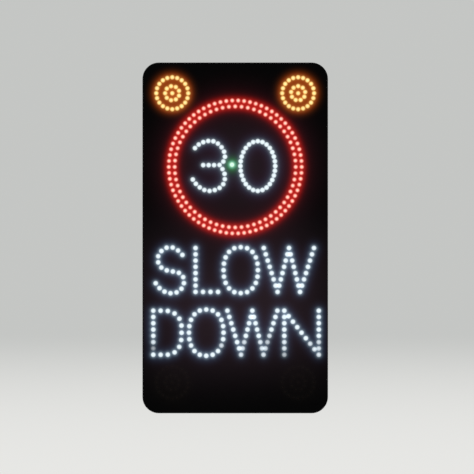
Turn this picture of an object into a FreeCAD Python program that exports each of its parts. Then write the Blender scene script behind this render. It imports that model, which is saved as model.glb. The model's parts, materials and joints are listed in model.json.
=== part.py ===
"""Vehicle activated speed sign with a solar panel, held on a round post.

Millimetres. X runs to the right of a driver who reads the sign, Z is up, and the lit face looks along -Y.
The origin is on the post's axis, half way up the lower post clamp.
"""
import FreeCAD, Part
import math
import os
from FreeCAD import Vector

# ---- driving dimensions ----
FACE_WIDTH = 622.0
FACE_HEIGHT = 1176.0
FACE_CORNER = 55.0
BOTTOM_Z = -300.0          # lower edge of the sign, below the lower clamp
CLAMP_SPACING = 560.0      # lower clamp to upper clamp
POST_RADIUS = 57.15        # standard 114.3 mm post
POST_TO_CASING = 96.0      # post axis to the casing's back
CASING_DEPTH = 116.0
CASING_INSET = 16.0        # the door overhangs the casing by this much all round
SEAL_GAP = 4.0
DOOR_DEPTH = 34.0
WALL = 3.0
LED_RADIUS = 4.7
LED_HOLE_RADIUS = 5.25
LED_PROUD = 3.5

# ---- places worked out from them ----
TOP_Z = BOTTOM_Z + FACE_HEIGHT
MIDDLE_Z = BOTTOM_Z + FACE_HEIGHT / 2
CASING_BACK = -POST_TO_CASING
CASING_FRONT = CASING_BACK - CASING_DEPTH
DOOR_BACK = CASING_FRONT - SEAL_GAP
FACE_FRONT = DOOR_BACK - DOOR_DEPTH
CASING_HALF = FACE_WIDTH / 2 - CASING_INSET
CASING_CORNER = FACE_CORNER - CASING_INSET
INSIDE_BACK = CASING_BACK - WALL
RIM_WIDTH = 15.0
LIP_WIDTH = 3.0
LIP_THICKNESS = 1.0
FASCIA_THICKNESS = 4.0
FASCIA_FRONT = FACE_FRONT + LIP_THICKNESS
FASCIA_BACK = FASCIA_FRONT + FASCIA_THICKNESS
BOARD_FRONT = FASCIA_BACK + 3.0
BOARD_THICKNESS = 1.6
BOARD_BACK = BOARD_FRONT + BOARD_THICKNESS
HINGE_X = -(CASING_HALF + 8.0)
HINGE_Y = CASING_FRONT + 7.0
HINGE_HEIGHTS = (MIDDLE_Z - 450.0, MIDDLE_Z, MIDDLE_Z + 450.0)
LOCK_Y = CASING_FRONT + 22.0
LOCK_HEIGHTS = {"lower": MIDDLE_Z - 330.0, "upper": MIDDLE_Z + 330.0}
CLAMP_HEIGHTS = {"lower": 0.0, "upper": CLAMP_SPACING}
ROUNDEL = Vector(0, 0, TOP_Z - 350.1)
LANTERN_X = 211.0
LANTERN_EDGE = 103.0       # lantern centre from the top or bottom edge
OUTER_RING_RADIUS = 222.8
INNER_RING_RADIUS = 202.8
ROUNDEL_BOARD_RADIUS = 234.0
LANTERN_BOARD_RADIUS = 66.0
SLOW_FROM_TOP = 696.0      # middle of each word below the top edge
DOWN_FROM_TOP = 906.0
WORD_BOARD_HALF_HEIGHT = 88.0
RAIL_BOLT_X = (-200.0, -110.0, 110.0, 200.0)
ARM_BOLT_X = 108.0
ARM_BOLT_HEIGHTS = (620.0, 680.0)
ARM_FOOT_HEIGHTS = (600.0, 700.0)
ARM_FOOT_THICKNESS = 5.0
ENTRY_Y = CASING_BACK - WALL - 45.0   # cable glands and vent, in the casing's floor
GLAND_X = (-120.0, -70.0)
VENT_X = 120.0
PANEL_WIDTH = 540.0
PANEL_LENGTH = 400.0
PANEL_THICKNESS = 25.0
PANEL_TILT = 45.0
PANEL_PIVOT = Vector(0, 75.0, 650.0)
PANEL_STANDOFF = 50.0
GEAR_PLATE_BACK = INSIDE_BACK - 10.0
GEAR_PLATE_FRONT = GEAR_PLATE_BACK - 2.0
RADAR_PIVOT = Vector(0, DOOR_BACK - 11.0, BOTTOM_Z + 106.0)
STIFFENER_HEIGHTS = [MIDDLE_Z + offset for offset in (-390.0, -120.0, 120.0, 390.0)]
STIFFENER_HALF = 12.0
M10_HOLE = 5.5

X_AXIS = Vector(1, 0, 0)
Y_AXIS = Vector(0, 1, 0)
Z_AXIS = Vector(0, 0, 1)

os.makedirs("parts", exist_ok=True)


# ---- helpers ----
def save(name, shapes):
    """Write one node: a single solid, or a group of separate ones."""
    pieces = shapes if isinstance(shapes, list) else [shapes]
    shape = pieces[0] if len(pieces) == 1 else Part.makeCompound(pieces)
    shape.exportStep("parts/" + name + ".step")


def box(x_range, y_range, z_range):
    low = Vector(min(x_range), min(y_range), min(z_range))
    size = Vector(max(x_range), max(y_range), max(z_range)) - low
    return Part.makeBox(size.x, size.y, size.z, low)


def rod(radius, start, end):
    along = end - start
    return Part.makeCylinder(radius, along.Length, start, along)


def tube(inner, outer, start, end):
    return rod(outer, start, end).cut(rod(inner, start, end))


def hexagon(across_flats, start, end):
    """A hexagonal prism between two points on its axis."""
    along = end - start
    side = X_AXIS if abs(along.x) < 1e-6 else Z_AXIS
    other = along.cross(side)
    other.normalize()
    corner = across_flats / math.sqrt(3)
    angles = [math.radians(60 * step) for step in range(7)]
    points = [start + side * (corner * math.cos(a)) + other * (corner * math.sin(a)) for a in angles]
    return Part.Face(Part.makePolygon(points)).extrude(along)


def fuse(shapes):
    return shapes[0].fuse(shapes[1:]).removeSplitter()


def rounded_outline(half_width, half_height, radius, y, centre_z=MIDDLE_Z):
    """A closed wire: a rectangle with round corners in the plane at y."""
    corners = ((1, 1, 0), (-1, 1, 90), (-1, -1, 180), (1, -1, 270))
    arcs = []
    for side_x, side_z, start in corners:
        centre = Vector(side_x * (half_width - radius), y, centre_z + side_z * (half_height - radius))
        points = []
        for turn in (0, 45, 90):
            angle = math.radians(start + turn)
            points.append(centre + Vector(math.cos(angle), 0, math.sin(angle)) * radius)
        arcs.append(points)
    edges = []
    for index, (first, middle, last) in enumerate(arcs):
        edges.append(Part.Arc(first, middle, last).toShape())
        edges.append(Part.makeLine(last, arcs[(index + 1) % 4][0]))
    return Part.Wire(edges)


def rounded_slab(half_width, half_height, radius, y_front, y_back, centre_z=MIDDLE_Z):
    face = Part.Face(rounded_outline(half_width, half_height, radius, y_front, centre_z))
    return face.extrude(Vector(0, y_back - y_front, 0))


def sign_slab(inset, y_front, y_back):
    """A slab of the sign's outline, drawn in by inset."""
    return rounded_slab(FACE_WIDTH / 2 - inset, FACE_HEIGHT / 2 - inset, FACE_CORNER - inset, y_front, y_back)


def round_rim(slab, y, radius):
    """The slab with the edge of its face at y rounded off."""
    rim = [edge for edge in slab.Edges if all(abs(vertex.Y - y) < 1e-6 for vertex in edge.Vertexes)]
    return slab.makeFillet(radius, rim)


def prism(points, extrusion):
    return Part.Face(Part.makePolygon(points + points[:1])).extrude(extrusion)


def mirrored(shape):
    """The same piece on the other side of the sign's middle plane."""
    return shape.mirror(Vector(0, 0, 0), X_AXIS)


# ---- where the LEDs sit: x, z from the roundel's centre or from the sign's middle and top ----
def line(start, end, count):
    steps = [step / (count - 1) for step in range(count)]
    return [(start[0] + (end[0] - start[0]) * t, start[1] + (end[1] - start[1]) * t) for t in steps]


def along_curve(knots, count, closed=False):
    """Evenly spaced dots on a smooth curve through the knots."""
    curve = Part.BSplineCurve()
    curve.interpolate([Vector(x, 0, z) for x, z in knots], PeriodicFlag=closed)
    dots = curve.toShape().discretize(Number=count + 1 if closed else count)
    return [(dot.x, dot.z) for dot in dots[:count]]


def oval(centre, half_width, half_height, count, squareness=2.0, start=90.0):
    """Evenly spaced dots on an oval; squareness above 2 straightens its sides."""
    knots = []
    power = 2.0 / squareness
    for step in range(24):
        angle = math.radians(start - 15.0 * step)
        across = math.copysign(abs(math.cos(angle)) ** power, math.cos(angle))
        up = math.copysign(abs(math.sin(angle)) ** power, math.sin(angle))
        knots.append((centre[0] + half_width * across, centre[1] + half_height * up))
    return along_curve(knots, count, closed=True)


def circle(radius, count, start=90.0):
    return oval((0, 0), radius, radius, count, start=start)


def letter_s():
    upper = [(-177, 645), (-192, 630), (-218, 619), (-244, 629), (-259.5, 657), (-249, 686)]
    lower = [(-211.5, 700.3), (-180, 711), (-172, 740), (-193, 769), (-226, 772), (-253, 757), (-266.5, 740)]
    return along_curve(upper + lower, 19)


def letter_l():
    return line((-133, 622), (-133, 769), 8) + line((-107.9, 769), (-57.7, 769), 3)


def letter_w(x_tops, x_bottoms, top, bottom):
    """Four strokes of eight dots that share their ends."""
    knots = [(x_tops[0], top), (x_bottoms[0], bottom), (x_tops[1], top), (x_bottoms[1], bottom),
             (x_tops[2], top)]
    dots = [knots[0]]
    for start, end in zip(knots, knots[1:]):
        dots += line(start, end, 8)[1:]
    return dots


def letter_d():
    bow = [(-250, 832), (-226, 833), (-201, 843), (-183, 868), (-179.7, 906), (-184, 944), (-201, 970),
           (-226, 979.3), (-250, 979.7)]
    return line((-274.6, 832), (-274.6, 979.5), 8) + along_curve(bow, 11)


def letter_n():
    diagonal = line((164.6, 832), (280.2, 979.5), 9)[1:-1]
    return line((164.6, 832), (164.6, 979.5), 8) + diagonal + line((280.2, 832), (280.2, 979.5), 8)


def digit_3():
    top = [(-134.8, 63.2), (-121, 76), (-98, 85.8), (-72.8, 85.8), (-50, 71), (-34.4, 38), (-52.6, 6.6)]
    bottom = [(-42.8, -7.1), (-34.5, -32), (-43, -62), (-68, -77.3), (-93, -80), (-122, -66), (-142.2, -42.1)]
    return along_curve(top, 11) + line((-70.8, 6.1), (-107.2, 6.1), 3) + along_curve(bottom, 11)


def lantern(side):
    """Two rings round a middle LED; the left and right boards are a quarter turn apart."""
    return circle(53.5, 20) + circle(23.9, 9, start=90.0 if side > 0 else 180.0) + [(0, 0)]


def from_roundel(dots):
    return [(x, ROUNDEL.z + z) for x, z in dots]


def from_top(dots):
    return [(x, TOP_Z - down) for x, down in dots]


def lanterns_at(centre_z):
    return [(side * LANTERN_X + x, centre_z + z) for side in (-1, 1) for x, z in lantern(side)]


LEDS = {
    "leds_roundel": from_roundel(circle(OUTER_RING_RADIUS, 70, start=0.0) + circle(INNER_RING_RADIUS, 60)),
    "leds_digits": from_roundel(digit_3() + oval((75.8, 3.0), 58.3, 83.4, 28)),
    "led_status": from_roundel([(-10.8, 7.6)]),
    "leds_slow": from_top(letter_s() + letter_l() + oval((18.5, 696.1), 57.6, 77, 20, 2.3)
                          + letter_w((95.8, 180.4, 264.0), (142.0, 217.3), 622, 769)),
    "leds_down": from_top(letter_d() + oval((-97.1, 905.7), 58, 77.5, 20, 2.3)
                          + letter_w((-26.2, 57.4, 141.5), (19.5, 94.8), 832, 979.5) + letter_n()),
    "leds_lanterns_top": lanterns_at(TOP_Z - LANTERN_EDGE),
    "leds_lanterns_bottom": lanterns_at(BOTTOM_Z + LANTERN_EDGE),
}
LIGHT_SENSOR = (0.0, ROUNDEL.z + 138.2)


def make_lens():
    """One LED lens on the Y axis: a straight stem from its board and a spherical end proud of the fascia."""
    tip = FASCIA_FRONT - LED_PROUD
    cap_radius = (LED_RADIUS ** 2 + LED_PROUD ** 2) / (2 * LED_PROUD)
    half_turn = math.asin(LED_RADIUS / cap_radius) / 2
    bend = Vector(cap_radius * math.sin(half_turn), tip + cap_radius * (1 - math.cos(half_turn)), 0)
    axis_back, rim_back = Vector(0, BOARD_FRONT, 0), Vector(LED_RADIUS, BOARD_FRONT, 0)
    axis_front, shoulder = Vector(0, tip, 0), Vector(LED_RADIUS, FASCIA_FRONT, 0)
    edges = [
        Part.makeLine(axis_back, rim_back),
        Part.makeLine(rim_back, shoulder),
        Part.Arc(shoulder, bend, axis_front).toShape(),
        Part.makeLine(axis_front, axis_back),
    ]
    return Part.Face(Part.Wire(edges)).revolve(Vector(0, 0, 0), Y_AXIS, 360)


def save_lenses():
    lens = make_lens()
    for name, dots in LEDS.items():
        save(name, [lens.translated(Vector(x, 0, z)) for x, z in dots])


# ---- door: frame, fascia, boards, lenses ----
def make_door_frame():
    """A C section bent round the sign's outline: front lip, side wall and back flange."""
    flange = 25.0
    shell = round_rim(sign_slab(0, FACE_FRONT, DOOR_BACK), FACE_FRONT, 2.5)
    shell = shell.cut(sign_slab(LIP_WIDTH, FACE_FRONT, FASCIA_FRONT))
    shell = shell.cut(sign_slab(WALL - 0.5, FASCIA_FRONT, DOOR_BACK - WALL))
    return shell.cut(sign_slab(flange, DOOR_BACK - WALL, DOOR_BACK))


def make_fascia():
    """A black plate behind the frame's lip with one hole for each LED and one for the light sensor."""
    dots = [LIGHT_SENSOR]
    for group in LEDS.values():
        dots += group
    plate = sign_slab(WALL, FASCIA_FRONT, FASCIA_BACK)
    return plate.cut(mounting_holes(dots, FASCIA_FRONT, FASCIA_BACK, LED_HOLE_RADIUS))


def mounting_holes(centres, y_front, y_back, radius=1.7):
    return [rod(radius, Vector(x, y_front, z), Vector(x, y_back, z)) for x, z in centres]


def letter_board(half_width, half_height, centre_x, centre_z):
    """A rectangular printed board with rounded corners and a screw hole in each."""
    plate = rounded_slab(half_width, half_height, 6.0, BOARD_FRONT, BOARD_BACK, centre_z)
    corners = [(side_x * (half_width - 7), centre_z + side_z * (half_height - 7))
               for side_x in (-1, 1) for side_z in (-1, 1)]
    plate = plate.cut(mounting_holes(corners, BOARD_FRONT, BOARD_BACK))
    plate.translate(Vector(centre_x, 0, 0))
    return plate


def round_board(radius, centre_x, centre_z):
    return rod(radius, Vector(centre_x, BOARD_FRONT, centre_z), Vector(centre_x, BOARD_BACK, centre_z))


def lantern_centres():
    heights = (BOTTOM_Z + LANTERN_EDGE, TOP_Z - LANTERN_EDGE)
    return [(side * LANTERN_X, z) for z in heights for side in (-1, 1)]


def make_led_boards():
    save("led_boards_round", [round_board(ROUNDEL_BOARD_RADIUS, 0, ROUNDEL.z)]
         + [round_board(LANTERN_BOARD_RADIUS, x, z) for x, z in lantern_centres()])
    save("led_boards_words", [letter_board(282, WORD_BOARD_HALF_HEIGHT, 0, TOP_Z - SLOW_FROM_TOP),
                              letter_board(289, WORD_BOARD_HALF_HEIGHT, 2, TOP_Z - DOWN_FROM_TOP)])


def make_light_sensor():
    """A flat-ended light pipe that looks out through the fascia."""
    x, z = LIGHT_SENSOR
    front = Vector(x, FASCIA_FRONT + 0.5, z)
    save("light_sensor", rod(LED_RADIUS, front, Vector(x, BOARD_FRONT, z)))


def make_stiffeners():
    """Channels across the back of the door that carry the boards and drivers."""
    half_length = FACE_WIDTH / 2 - WALL - 1
    front = DOOR_BACK - WALL - 15
    back = DOOR_BACK - WALL
    wall = 2.0
    bars = []
    bolts = []
    for z in STIFFENER_HEIGHTS:
        bar = box((-half_length, half_length), (front, back), (z - STIFFENER_HALF, z + STIFFENER_HALF))
        inner = (z - STIFFENER_HALF + wall, z + STIFFENER_HALF - wall)
        bar = bar.cut(box((-half_length, half_length), (front, back - wall), inner))
        for side in (-1, 1):
            x = side * (CASING_HALF + 8)
            bar = bar.cut(rod(2.7, Vector(x, front, z), Vector(x, back, z)))
            shank = rod(2.5, Vector(x, back - 8, z), Vector(x, DOOR_BACK, z))
            head = rod(4.5, Vector(x, DOOR_BACK, z), Vector(x, DOOR_BACK + 2.7, z))
            bolts.append(fuse([shank, head]))
        bars.append(bar)
    save("door_stiffeners", bars)
    save("door_bolts", bolts)


def door_bolt_holes():
    return [rod(2.7, Vector(side * (CASING_HALF + 8), DOOR_BACK - WALL, z),
                Vector(side * (CASING_HALF + 8), DOOR_BACK, z))
            for z in STIFFENER_HEIGHTS for side in (-1, 1)]


def make_led_drivers():
    """Constant-current driver boxes on the backs of the boards, between the stiffeners."""
    half_width, half_height, depth = 55.0, 22.0, 20.0
    ear = 12.0
    clear_of_stiffener = 49.0
    drivers = []
    for x, z in ((-120, ROUNDEL.z), (120, ROUNDEL.z), (0, TOP_Z - SLOW_FROM_TOP - clear_of_stiffener),
                 (0, TOP_Z - DOWN_FROM_TOP)):
        ends = (x - half_width, x + half_width)
        body = box(ends, (BOARD_BACK, BOARD_BACK + depth), (z - half_height, z + half_height))
        body = body.makeFillet(3, [edge for edge in body.Edges if abs(edge.tangentAt(0).y) > 0.9])
        flange = box((ends[0] - ear, ends[1] + ear), (BOARD_BACK, BOARD_BACK + 2), (z - 8, z + 8))
        screw_places = [(end + side * ear / 2, z) for end, side in zip(ends, (-1, 1))]
        screw_holes = mounting_holes(screw_places, BOARD_BACK, BOARD_BACK + 2, 2.2)
        drivers.append(fuse([body, flange]).cut(screw_holes))
    save("led_drivers", drivers)


# ---- radar ----
def make_radar():
    half_width, half_height = 42.0, 28.0
    front, back = RADAR_PIVOT.y - 12, RADAR_PIVOT.y + 10
    z = RADAR_PIVOT.z
    body = box((-half_width, half_width), (front, back), (z - half_height, z + half_height))
    body = body.makeFillet(5, [edge for edge in body.Edges if abs(edge.tangentAt(0).y) > 0.9])
    pin = rod(4, RADAR_PIVOT - X_AXIS * (half_width + 10), RADAR_PIVOT + X_AXIS * (half_width + 10))
    save("radar_module", fuse([body, pin]))

    arm_inside, arm_outside = half_width + 3, half_width + 6
    top = STIFFENER_HEIGHTS[0] - STIFFENER_HALF
    depth = (RADAR_PIVOT.y - 9, RADAR_PIVOT.y + 9)
    web = box((-arm_outside, arm_outside), depth, (top - 3, top))
    arms = [box((side * arm_inside, side * arm_outside), depth, (z - 14, top)) for side in (-1, 1)]
    bore = rod(4.06, RADAR_PIVOT - X_AXIS * arm_outside, RADAR_PIVOT + X_AXIS * arm_outside)
    save("radar_bracket", fuse([web] + arms).cut(bore))


# ---- casing ----
def rail_bolt_places():
    return [(x, z) for z in CLAMP_HEIGHTS.values() for x in RAIL_BOLT_X]


def arm_bolt_places():
    return [(side * ARM_BOLT_X, z) for z in ARM_BOLT_HEIGHTS for side in (-1, 1)]


def gland_places():
    return [Vector(x, ENTRY_Y, BOTTOM_Z + CASING_INSET) for x in GLAND_X]


VENT_PLACE = Vector(VENT_X, ENTRY_Y, BOTTOM_Z + CASING_INSET)
GLAND_HOLE = 10.2
VENT_HOLE = 8.0
LOCK_HOLE = 9.2
BACK_EDGE_RADIUS = 2.4


def make_casing():
    """Four lengths of flanged section, joined by corner pieces, with a back sheet riveted behind them."""
    band = sign_slab(CASING_INSET, CASING_FRONT, INSIDE_BACK)
    band = band.cut(sign_slab(CASING_INSET + WALL, CASING_FRONT + WALL, INSIDE_BACK))
    band = band.cut(sign_slab(CASING_INSET + RIM_WIDTH, CASING_FRONT, CASING_FRONT + WALL))
    holes = [rod(GLAND_HOLE, place - Z_AXIS, place + Z_AXIS * (WALL + 1)) for place in gland_places()]
    holes.append(rod(VENT_HOLE, VENT_PLACE - Z_AXIS, VENT_PLACE + Z_AXIS * (WALL + 1)))
    for z in LOCK_HEIGHTS.values():
        outside = Vector(CASING_HALF + 1, LOCK_Y, z)
        holes.append(rod(LOCK_HOLE, Vector(CASING_HALF - WALL - 1, LOCK_Y, z), outside))
    band = band.cut(holes)

    half_height = FACE_HEIGHT / 2 - CASING_INSET
    depth = (CASING_FRONT, INSIDE_BACK)
    regions = [box((side_x * (CASING_HALF - CASING_CORNER), side_x * CASING_HALF), depth,
                   (MIDDLE_Z + side_z * (half_height - CASING_CORNER), MIDDLE_Z + side_z * half_height))
               for side_x in (-1, 1) for side_z in (-1, 1)]
    save("casing_corners", [band.common(region).Solids[0] for region in regions])
    save("casing_sides", band.cut(regions).Solids)

    back = round_rim(sign_slab(CASING_INSET, INSIDE_BACK, CASING_BACK), CASING_BACK, BACK_EDGE_RADIUS)
    bolt_holes = mounting_holes(rail_bolt_places() + arm_bolt_places(), INSIDE_BACK, CASING_BACK, M10_HOLE)
    save("casing_back", back.cut(bolt_holes))


def make_casing_seal():
    inset = CASING_INSET + 1.5
    seal = sign_slab(inset, DOOR_BACK + 0.3, CASING_FRONT)
    save("casing_seal", seal.cut(sign_slab(inset + 10, DOOR_BACK, CASING_FRONT)))


# ---- hinges and locks ----
def make_hinges():
    """Three lift-clear butt hinges behind the door's left edge, their leaves welded on."""
    radius = 7.0
    pin_radius = 3.0
    middle_half, barrel_half, leaf_half = 10.0, 30.0, 45.0
    gap = 0.4
    casing_leaves, door_leaves, pins = [], [], []
    for z in HINGE_HEIGHTS:
        centre = Vector(HINGE_X, HINGE_Y, z)
        wall_x = -CASING_HALF
        leaf_depth = (CASING_FRONT + 2, CASING_FRONT + 47)
        leaf = box((wall_x - 3, wall_x), leaf_depth, (z - leaf_half, z + leaf_half))
        notch = (z - middle_half - 1, z + middle_half + 1)
        leaf = leaf.cut(box((wall_x - 3, wall_x), (CASING_FRONT, HINGE_Y + 10), notch))
        knuckles = [rod(radius, centre + Z_AXIS * side * middle_half, centre + Z_AXIS * side * barrel_half)
                    for side in (-1, 1)]
        bore = rod(pin_radius, centre - Z_AXIS * barrel_half, centre + Z_AXIS * barrel_half)
        casing_leaves.append(fuse([leaf] + knuckles).cut(bore))

        half = middle_half - gap
        plate = box((HINGE_X - 7, HINGE_X + 6), (DOOR_BACK, DOOR_BACK + 3), (z - half, z + half))
        neck = box((HINGE_X - 4, HINGE_X + 4), (DOOR_BACK + 3, HINGE_Y), (z - half, z + half))
        knuckle = rod(radius, centre - Z_AXIS * half, centre + Z_AXIS * half)
        door_bore = rod(pin_radius + 0.06, centre - Z_AXIS * half, centre + Z_AXIS * half)
        door_leaves.append(fuse([plate, neck, knuckle]).cut(door_bore))

        shaft = rod(pin_radius, centre - Z_AXIS * barrel_half, centre + Z_AXIS * barrel_half)
        cap = rod(radius - 2, centre + Z_AXIS * barrel_half, centre + Z_AXIS * (barrel_half + 2.5))
        pins.append(fuse([shaft, cap]))
    save("casing_hinge_leaves", casing_leaves)
    save("door_hinge_leaves", door_leaves)
    save("hinge_pins", pins)


CAM_INSIDE = 266.0
CAM_THICKNESS = 3.0
LIP_FRONT = LOCK_Y + 6.0


def make_locks():
    """Quarter-turn locks through the casing's right wall, unlocked.

    An unlocked cam points at the door. Turned down, it stands in front of the lip of the keeper on the door.
    """
    plug_radius = 5.5
    barrels, keepers = [], []
    for name, z in LOCK_HEIGHTS.items():
        def at(x):
            return Vector(x, LOCK_Y, z)
        nut = hexagon(24, at(CASING_HALF - WALL - 6), at(CASING_HALF - WALL)).cut(
            rod(9, at(CASING_HALF - WALL - 6), at(CASING_HALF - WALL)))
        barrel = fuse([rod(9, at(CAM_INSIDE + CAM_THICKNESS + 1), at(CASING_HALF)),
                       rod(13, at(CASING_HALF), at(CASING_HALF + 4)), nut])
        barrels.append(barrel.cut(rod(plug_radius + 0.08, at(CAM_INSIDE), at(CASING_HALF + 4))))

        plug = rod(plug_radius, at(CAM_INSIDE), at(CASING_HALF + 3))
        key_way = prism([at(CASING_HALF) + Vector(0, 3.4 * math.cos(a), 3.4 * math.sin(a))
                         for a in [math.radians(90 + 120 * step) for step in range(3)]], X_AXIS * 4)
        arm = box((CAM_INSIDE, CAM_INSIDE + CAM_THICKNESS), (LOCK_Y - 24, LOCK_Y), (z - 5, z + 5))
        hub = rod(8, at(CAM_INSIDE), at(CAM_INSIDE + CAM_THICKNESS))
        save("lock_cam_" + name, fuse([plug, hub, arm]).cut(key_way))

        height = (z - 32, z - 15)
        foot = box((259, 305), (DOOR_BACK - WALL - 3, DOOR_BACK - WALL), height)
        web = box((259, 262), (DOOR_BACK - WALL - 3, LIP_FRONT + 3), height)
        lip = box((259, 273), (LIP_FRONT, LIP_FRONT + 3), height)
        keepers.append(fuse([foot, web, lip]))
    save("lock_barrels", barrels)
    save("lock_keepers", keepers)


# ---- post mounting ----
RAIL_DEPTH = 22.0
RAIL_REAR = CASING_BACK + RAIL_DEPTH
SADDLE_HALF = 25.0


def bolt(radius, across_flats, head_from, shank_to, nut_from=None):
    """A hexagon bolt along a line, with its nut if it has one."""
    along = shank_to - head_from
    along.normalize()
    head_height = radius * 1.3
    under_head = head_from + along * head_height
    body = fuse([hexagon(across_flats, head_from, under_head), rod(radius, under_head, shank_to)])
    if nut_from is None:
        return [body]
    nut_end = nut_from + along * (radius * 1.4)
    nut = hexagon(across_flats, nut_from, nut_end).cut(rod(radius, nut_from, nut_end))
    return [body, nut]


def make_rails():
    """Slotted channels across the casing's back, bolted through it."""
    half_length, half_height, wall, slot_half = 230.0, 20.0, 4.0, 7.0
    rails, bolts = [], []
    for z in CLAMP_HEIGHTS.values():
        rail = box((-half_length, half_length), (CASING_BACK, RAIL_REAR), (z - half_height, z + half_height))
        rail = rail.cut(box((-half_length, half_length), (CASING_BACK + wall, RAIL_REAR - wall),
                            (z - half_height + wall, z + half_height - wall)))
        rail = rail.cut(box((-half_length, half_length), (RAIL_REAR - wall, RAIL_REAR),
                            (z - slot_half, z + slot_half)))
        places = [place for place in rail_bolt_places() if place[1] == z]
        rails.append(rail.cut(mounting_holes(places, CASING_BACK, CASING_BACK + wall, M10_HOLE)))
        for x, _ in places:
            head = Vector(x, CASING_BACK + wall + 6.5, z)
            bolts += bolt(5, 16, head, Vector(x, INSIDE_BACK - 9, z), Vector(x, INSIDE_BACK, z))
    for x, z in arm_bolt_places():
        head = Vector(x, CASING_BACK + ARM_FOOT_THICKNESS + 6.5, z)
        bolts += bolt(5, 16, head, Vector(x, INSIDE_BACK - 9, z), Vector(x, INSIDE_BACK, z))
    save("rear_rails", rails)
    return bolts


def make_clamps():
    """A saddle on each rail and a strap behind the post, pulled together by two bolts."""
    thickness = 8.0
    half_gap = 2.0
    ear_x = (60, 94)
    bolt_x = 79.0
    foot_bolt_x = 50.0
    outer = POST_RADIUS + thickness
    saddles, straps, clamp_bolts, channel_bolts = [], [], [], []
    for z in CLAMP_HEIGHTS.values():
        low, high = Vector(0, 0, z - SADDLE_HALF), Vector(0, 0, z + SADDLE_HALF)
        height = (z - SADDLE_HALF, z + SADDLE_HALF)
        bore = rod(POST_RADIUS, low, high)
        ring = tube(POST_RADIUS, outer, low, high)
        ear_holes = [rod(6.5, Vector(side * bolt_x, -20, z), Vector(side * bolt_x, 20, z))
                     for side in (-1, 1)]

        front_half = ring.cut(box((-outer, outer), (-half_gap, outer), height))
        front_ears = [box((side * ear_x[0], side * ear_x[1]), (-half_gap - thickness, -half_gap), height)
                      for side in (-1, 1)]
        foot = box((-66, 66), (RAIL_REAR, RAIL_REAR + thickness), height)
        block = box((-24, 24), (RAIL_REAR, -52), height)
        foot_places = [(-foot_bolt_x, z), (foot_bolt_x, z)]
        foot_holes = mounting_holes(foot_places, RAIL_REAR, RAIL_REAR + thickness, M10_HOLE)
        saddles.append(fuse([front_half, foot, block] + front_ears).cut([bore] + ear_holes + foot_holes))

        rear_half = ring.cut(box((-outer, outer), (-outer, half_gap), height))
        rear_ears = [box((side * ear_x[0], side * ear_x[1]), (half_gap, half_gap + thickness), height)
                     for side in (-1, 1)]
        straps.append(fuse([rear_half] + rear_ears).cut([bore] + ear_holes))

        for side in (-1, 1):
            x = side * bolt_x
            head = Vector(x, -half_gap - thickness - 7.8, z)
            clamp_bolts += bolt(6, 19, head, Vector(x, 26, z), Vector(x, half_gap + thickness, z))
            x = side * foot_bolt_x
            head = Vector(x, CASING_BACK + RAIL_DEPTH - 4 - 6.5, z)
            channel_bolts += bolt(5, 16, head, Vector(x, RAIL_REAR + 20, z),
                                  Vector(x, RAIL_REAR + thickness, z))
    save("clamp_saddles", saddles)
    save("clamp_straps", straps)
    save("clamp_bolts", clamp_bolts)
    return channel_bolts


# ---- solar panel, drawn flat over its pivot and then tilted ----
ARM_X = (85.0, 90.0)
HANGER_X = (92.0, 97.0)
LOCK_BOLT_RADIUS = 32.0
LOCK_BOLT_ANGLE = 150.0


def tilted(shape):
    shape.rotate(Vector(0, 0, 0), X_AXIS, -PANEL_TILT)
    shape.translate(PANEL_PIVOT)
    return shape


def lock_bolt_place(turn=0.0):
    """Where the tilt lock bolt crosses the arm, with the panel turned from rest by some degrees."""
    angle = math.radians(LOCK_BOLT_ANGLE - PANEL_TILT + turn)
    return PANEL_PIVOT + Vector(0, math.cos(angle), math.sin(angle)) * LOCK_BOLT_RADIUS


def make_panel_arms():
    pivot = PANEL_PIVOT
    outline = [Vector(ARM_X[0], y, z) for y, z in
               ((CASING_BACK, ARM_FOOT_HEIGHTS[0]), (CASING_BACK, ARM_FOOT_HEIGHTS[1]),
                (pivot.y - 10, pivot.z + 40), (pivot.y - 10, pivot.z - 40))]
    thick = ARM_X[1] - ARM_X[0]
    plate = prism(outline, X_AXIS * thick)
    end = Vector(ARM_X[0], pivot.y, pivot.z)
    boss = rod(42, end, end + X_AXIS * thick)
    foot_back = CASING_BACK + ARM_FOOT_THICKNESS
    foot = box((ARM_X[0], 128), (CASING_BACK, foot_back), ARM_FOOT_HEIGHTS)
    across = X_AXIS * (thick + 2)
    cuts = [rod(5.3, end - X_AXIS, end - X_AXIS + across)]
    slot_radius = 4.6
    reach = 15.0
    start = end - X_AXIS
    ring = tube(LOCK_BOLT_RADIUS - slot_radius, LOCK_BOLT_RADIUS + slot_radius, start, start + across)
    centre_angle = math.radians(LOCK_BOLT_ANGLE - PANEL_TILT)
    wedge = [start]
    for turn in (-reach, reach):
        angle = centre_angle + math.radians(turn)
        wedge.append(start + Vector(0, math.cos(angle), math.sin(angle)) * LOCK_BOLT_RADIUS * 2)
    cuts.append(ring.common(prism(wedge, across)))
    for turn in (-reach, reach):
        place = lock_bolt_place(turn)
        place.x = ARM_X[0] - 1
        cuts.append(rod(slot_radius, place, place + across))
    for x, z in arm_bolt_places():
        if x > 0:
            cuts.append(rod(M10_HOLE, Vector(x, CASING_BACK, z), Vector(x, foot_back, z)))
    arm = fuse([plate, boss, foot]).cut(cuts)
    save("panel_arms", [arm, mirrored(arm)])


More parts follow.
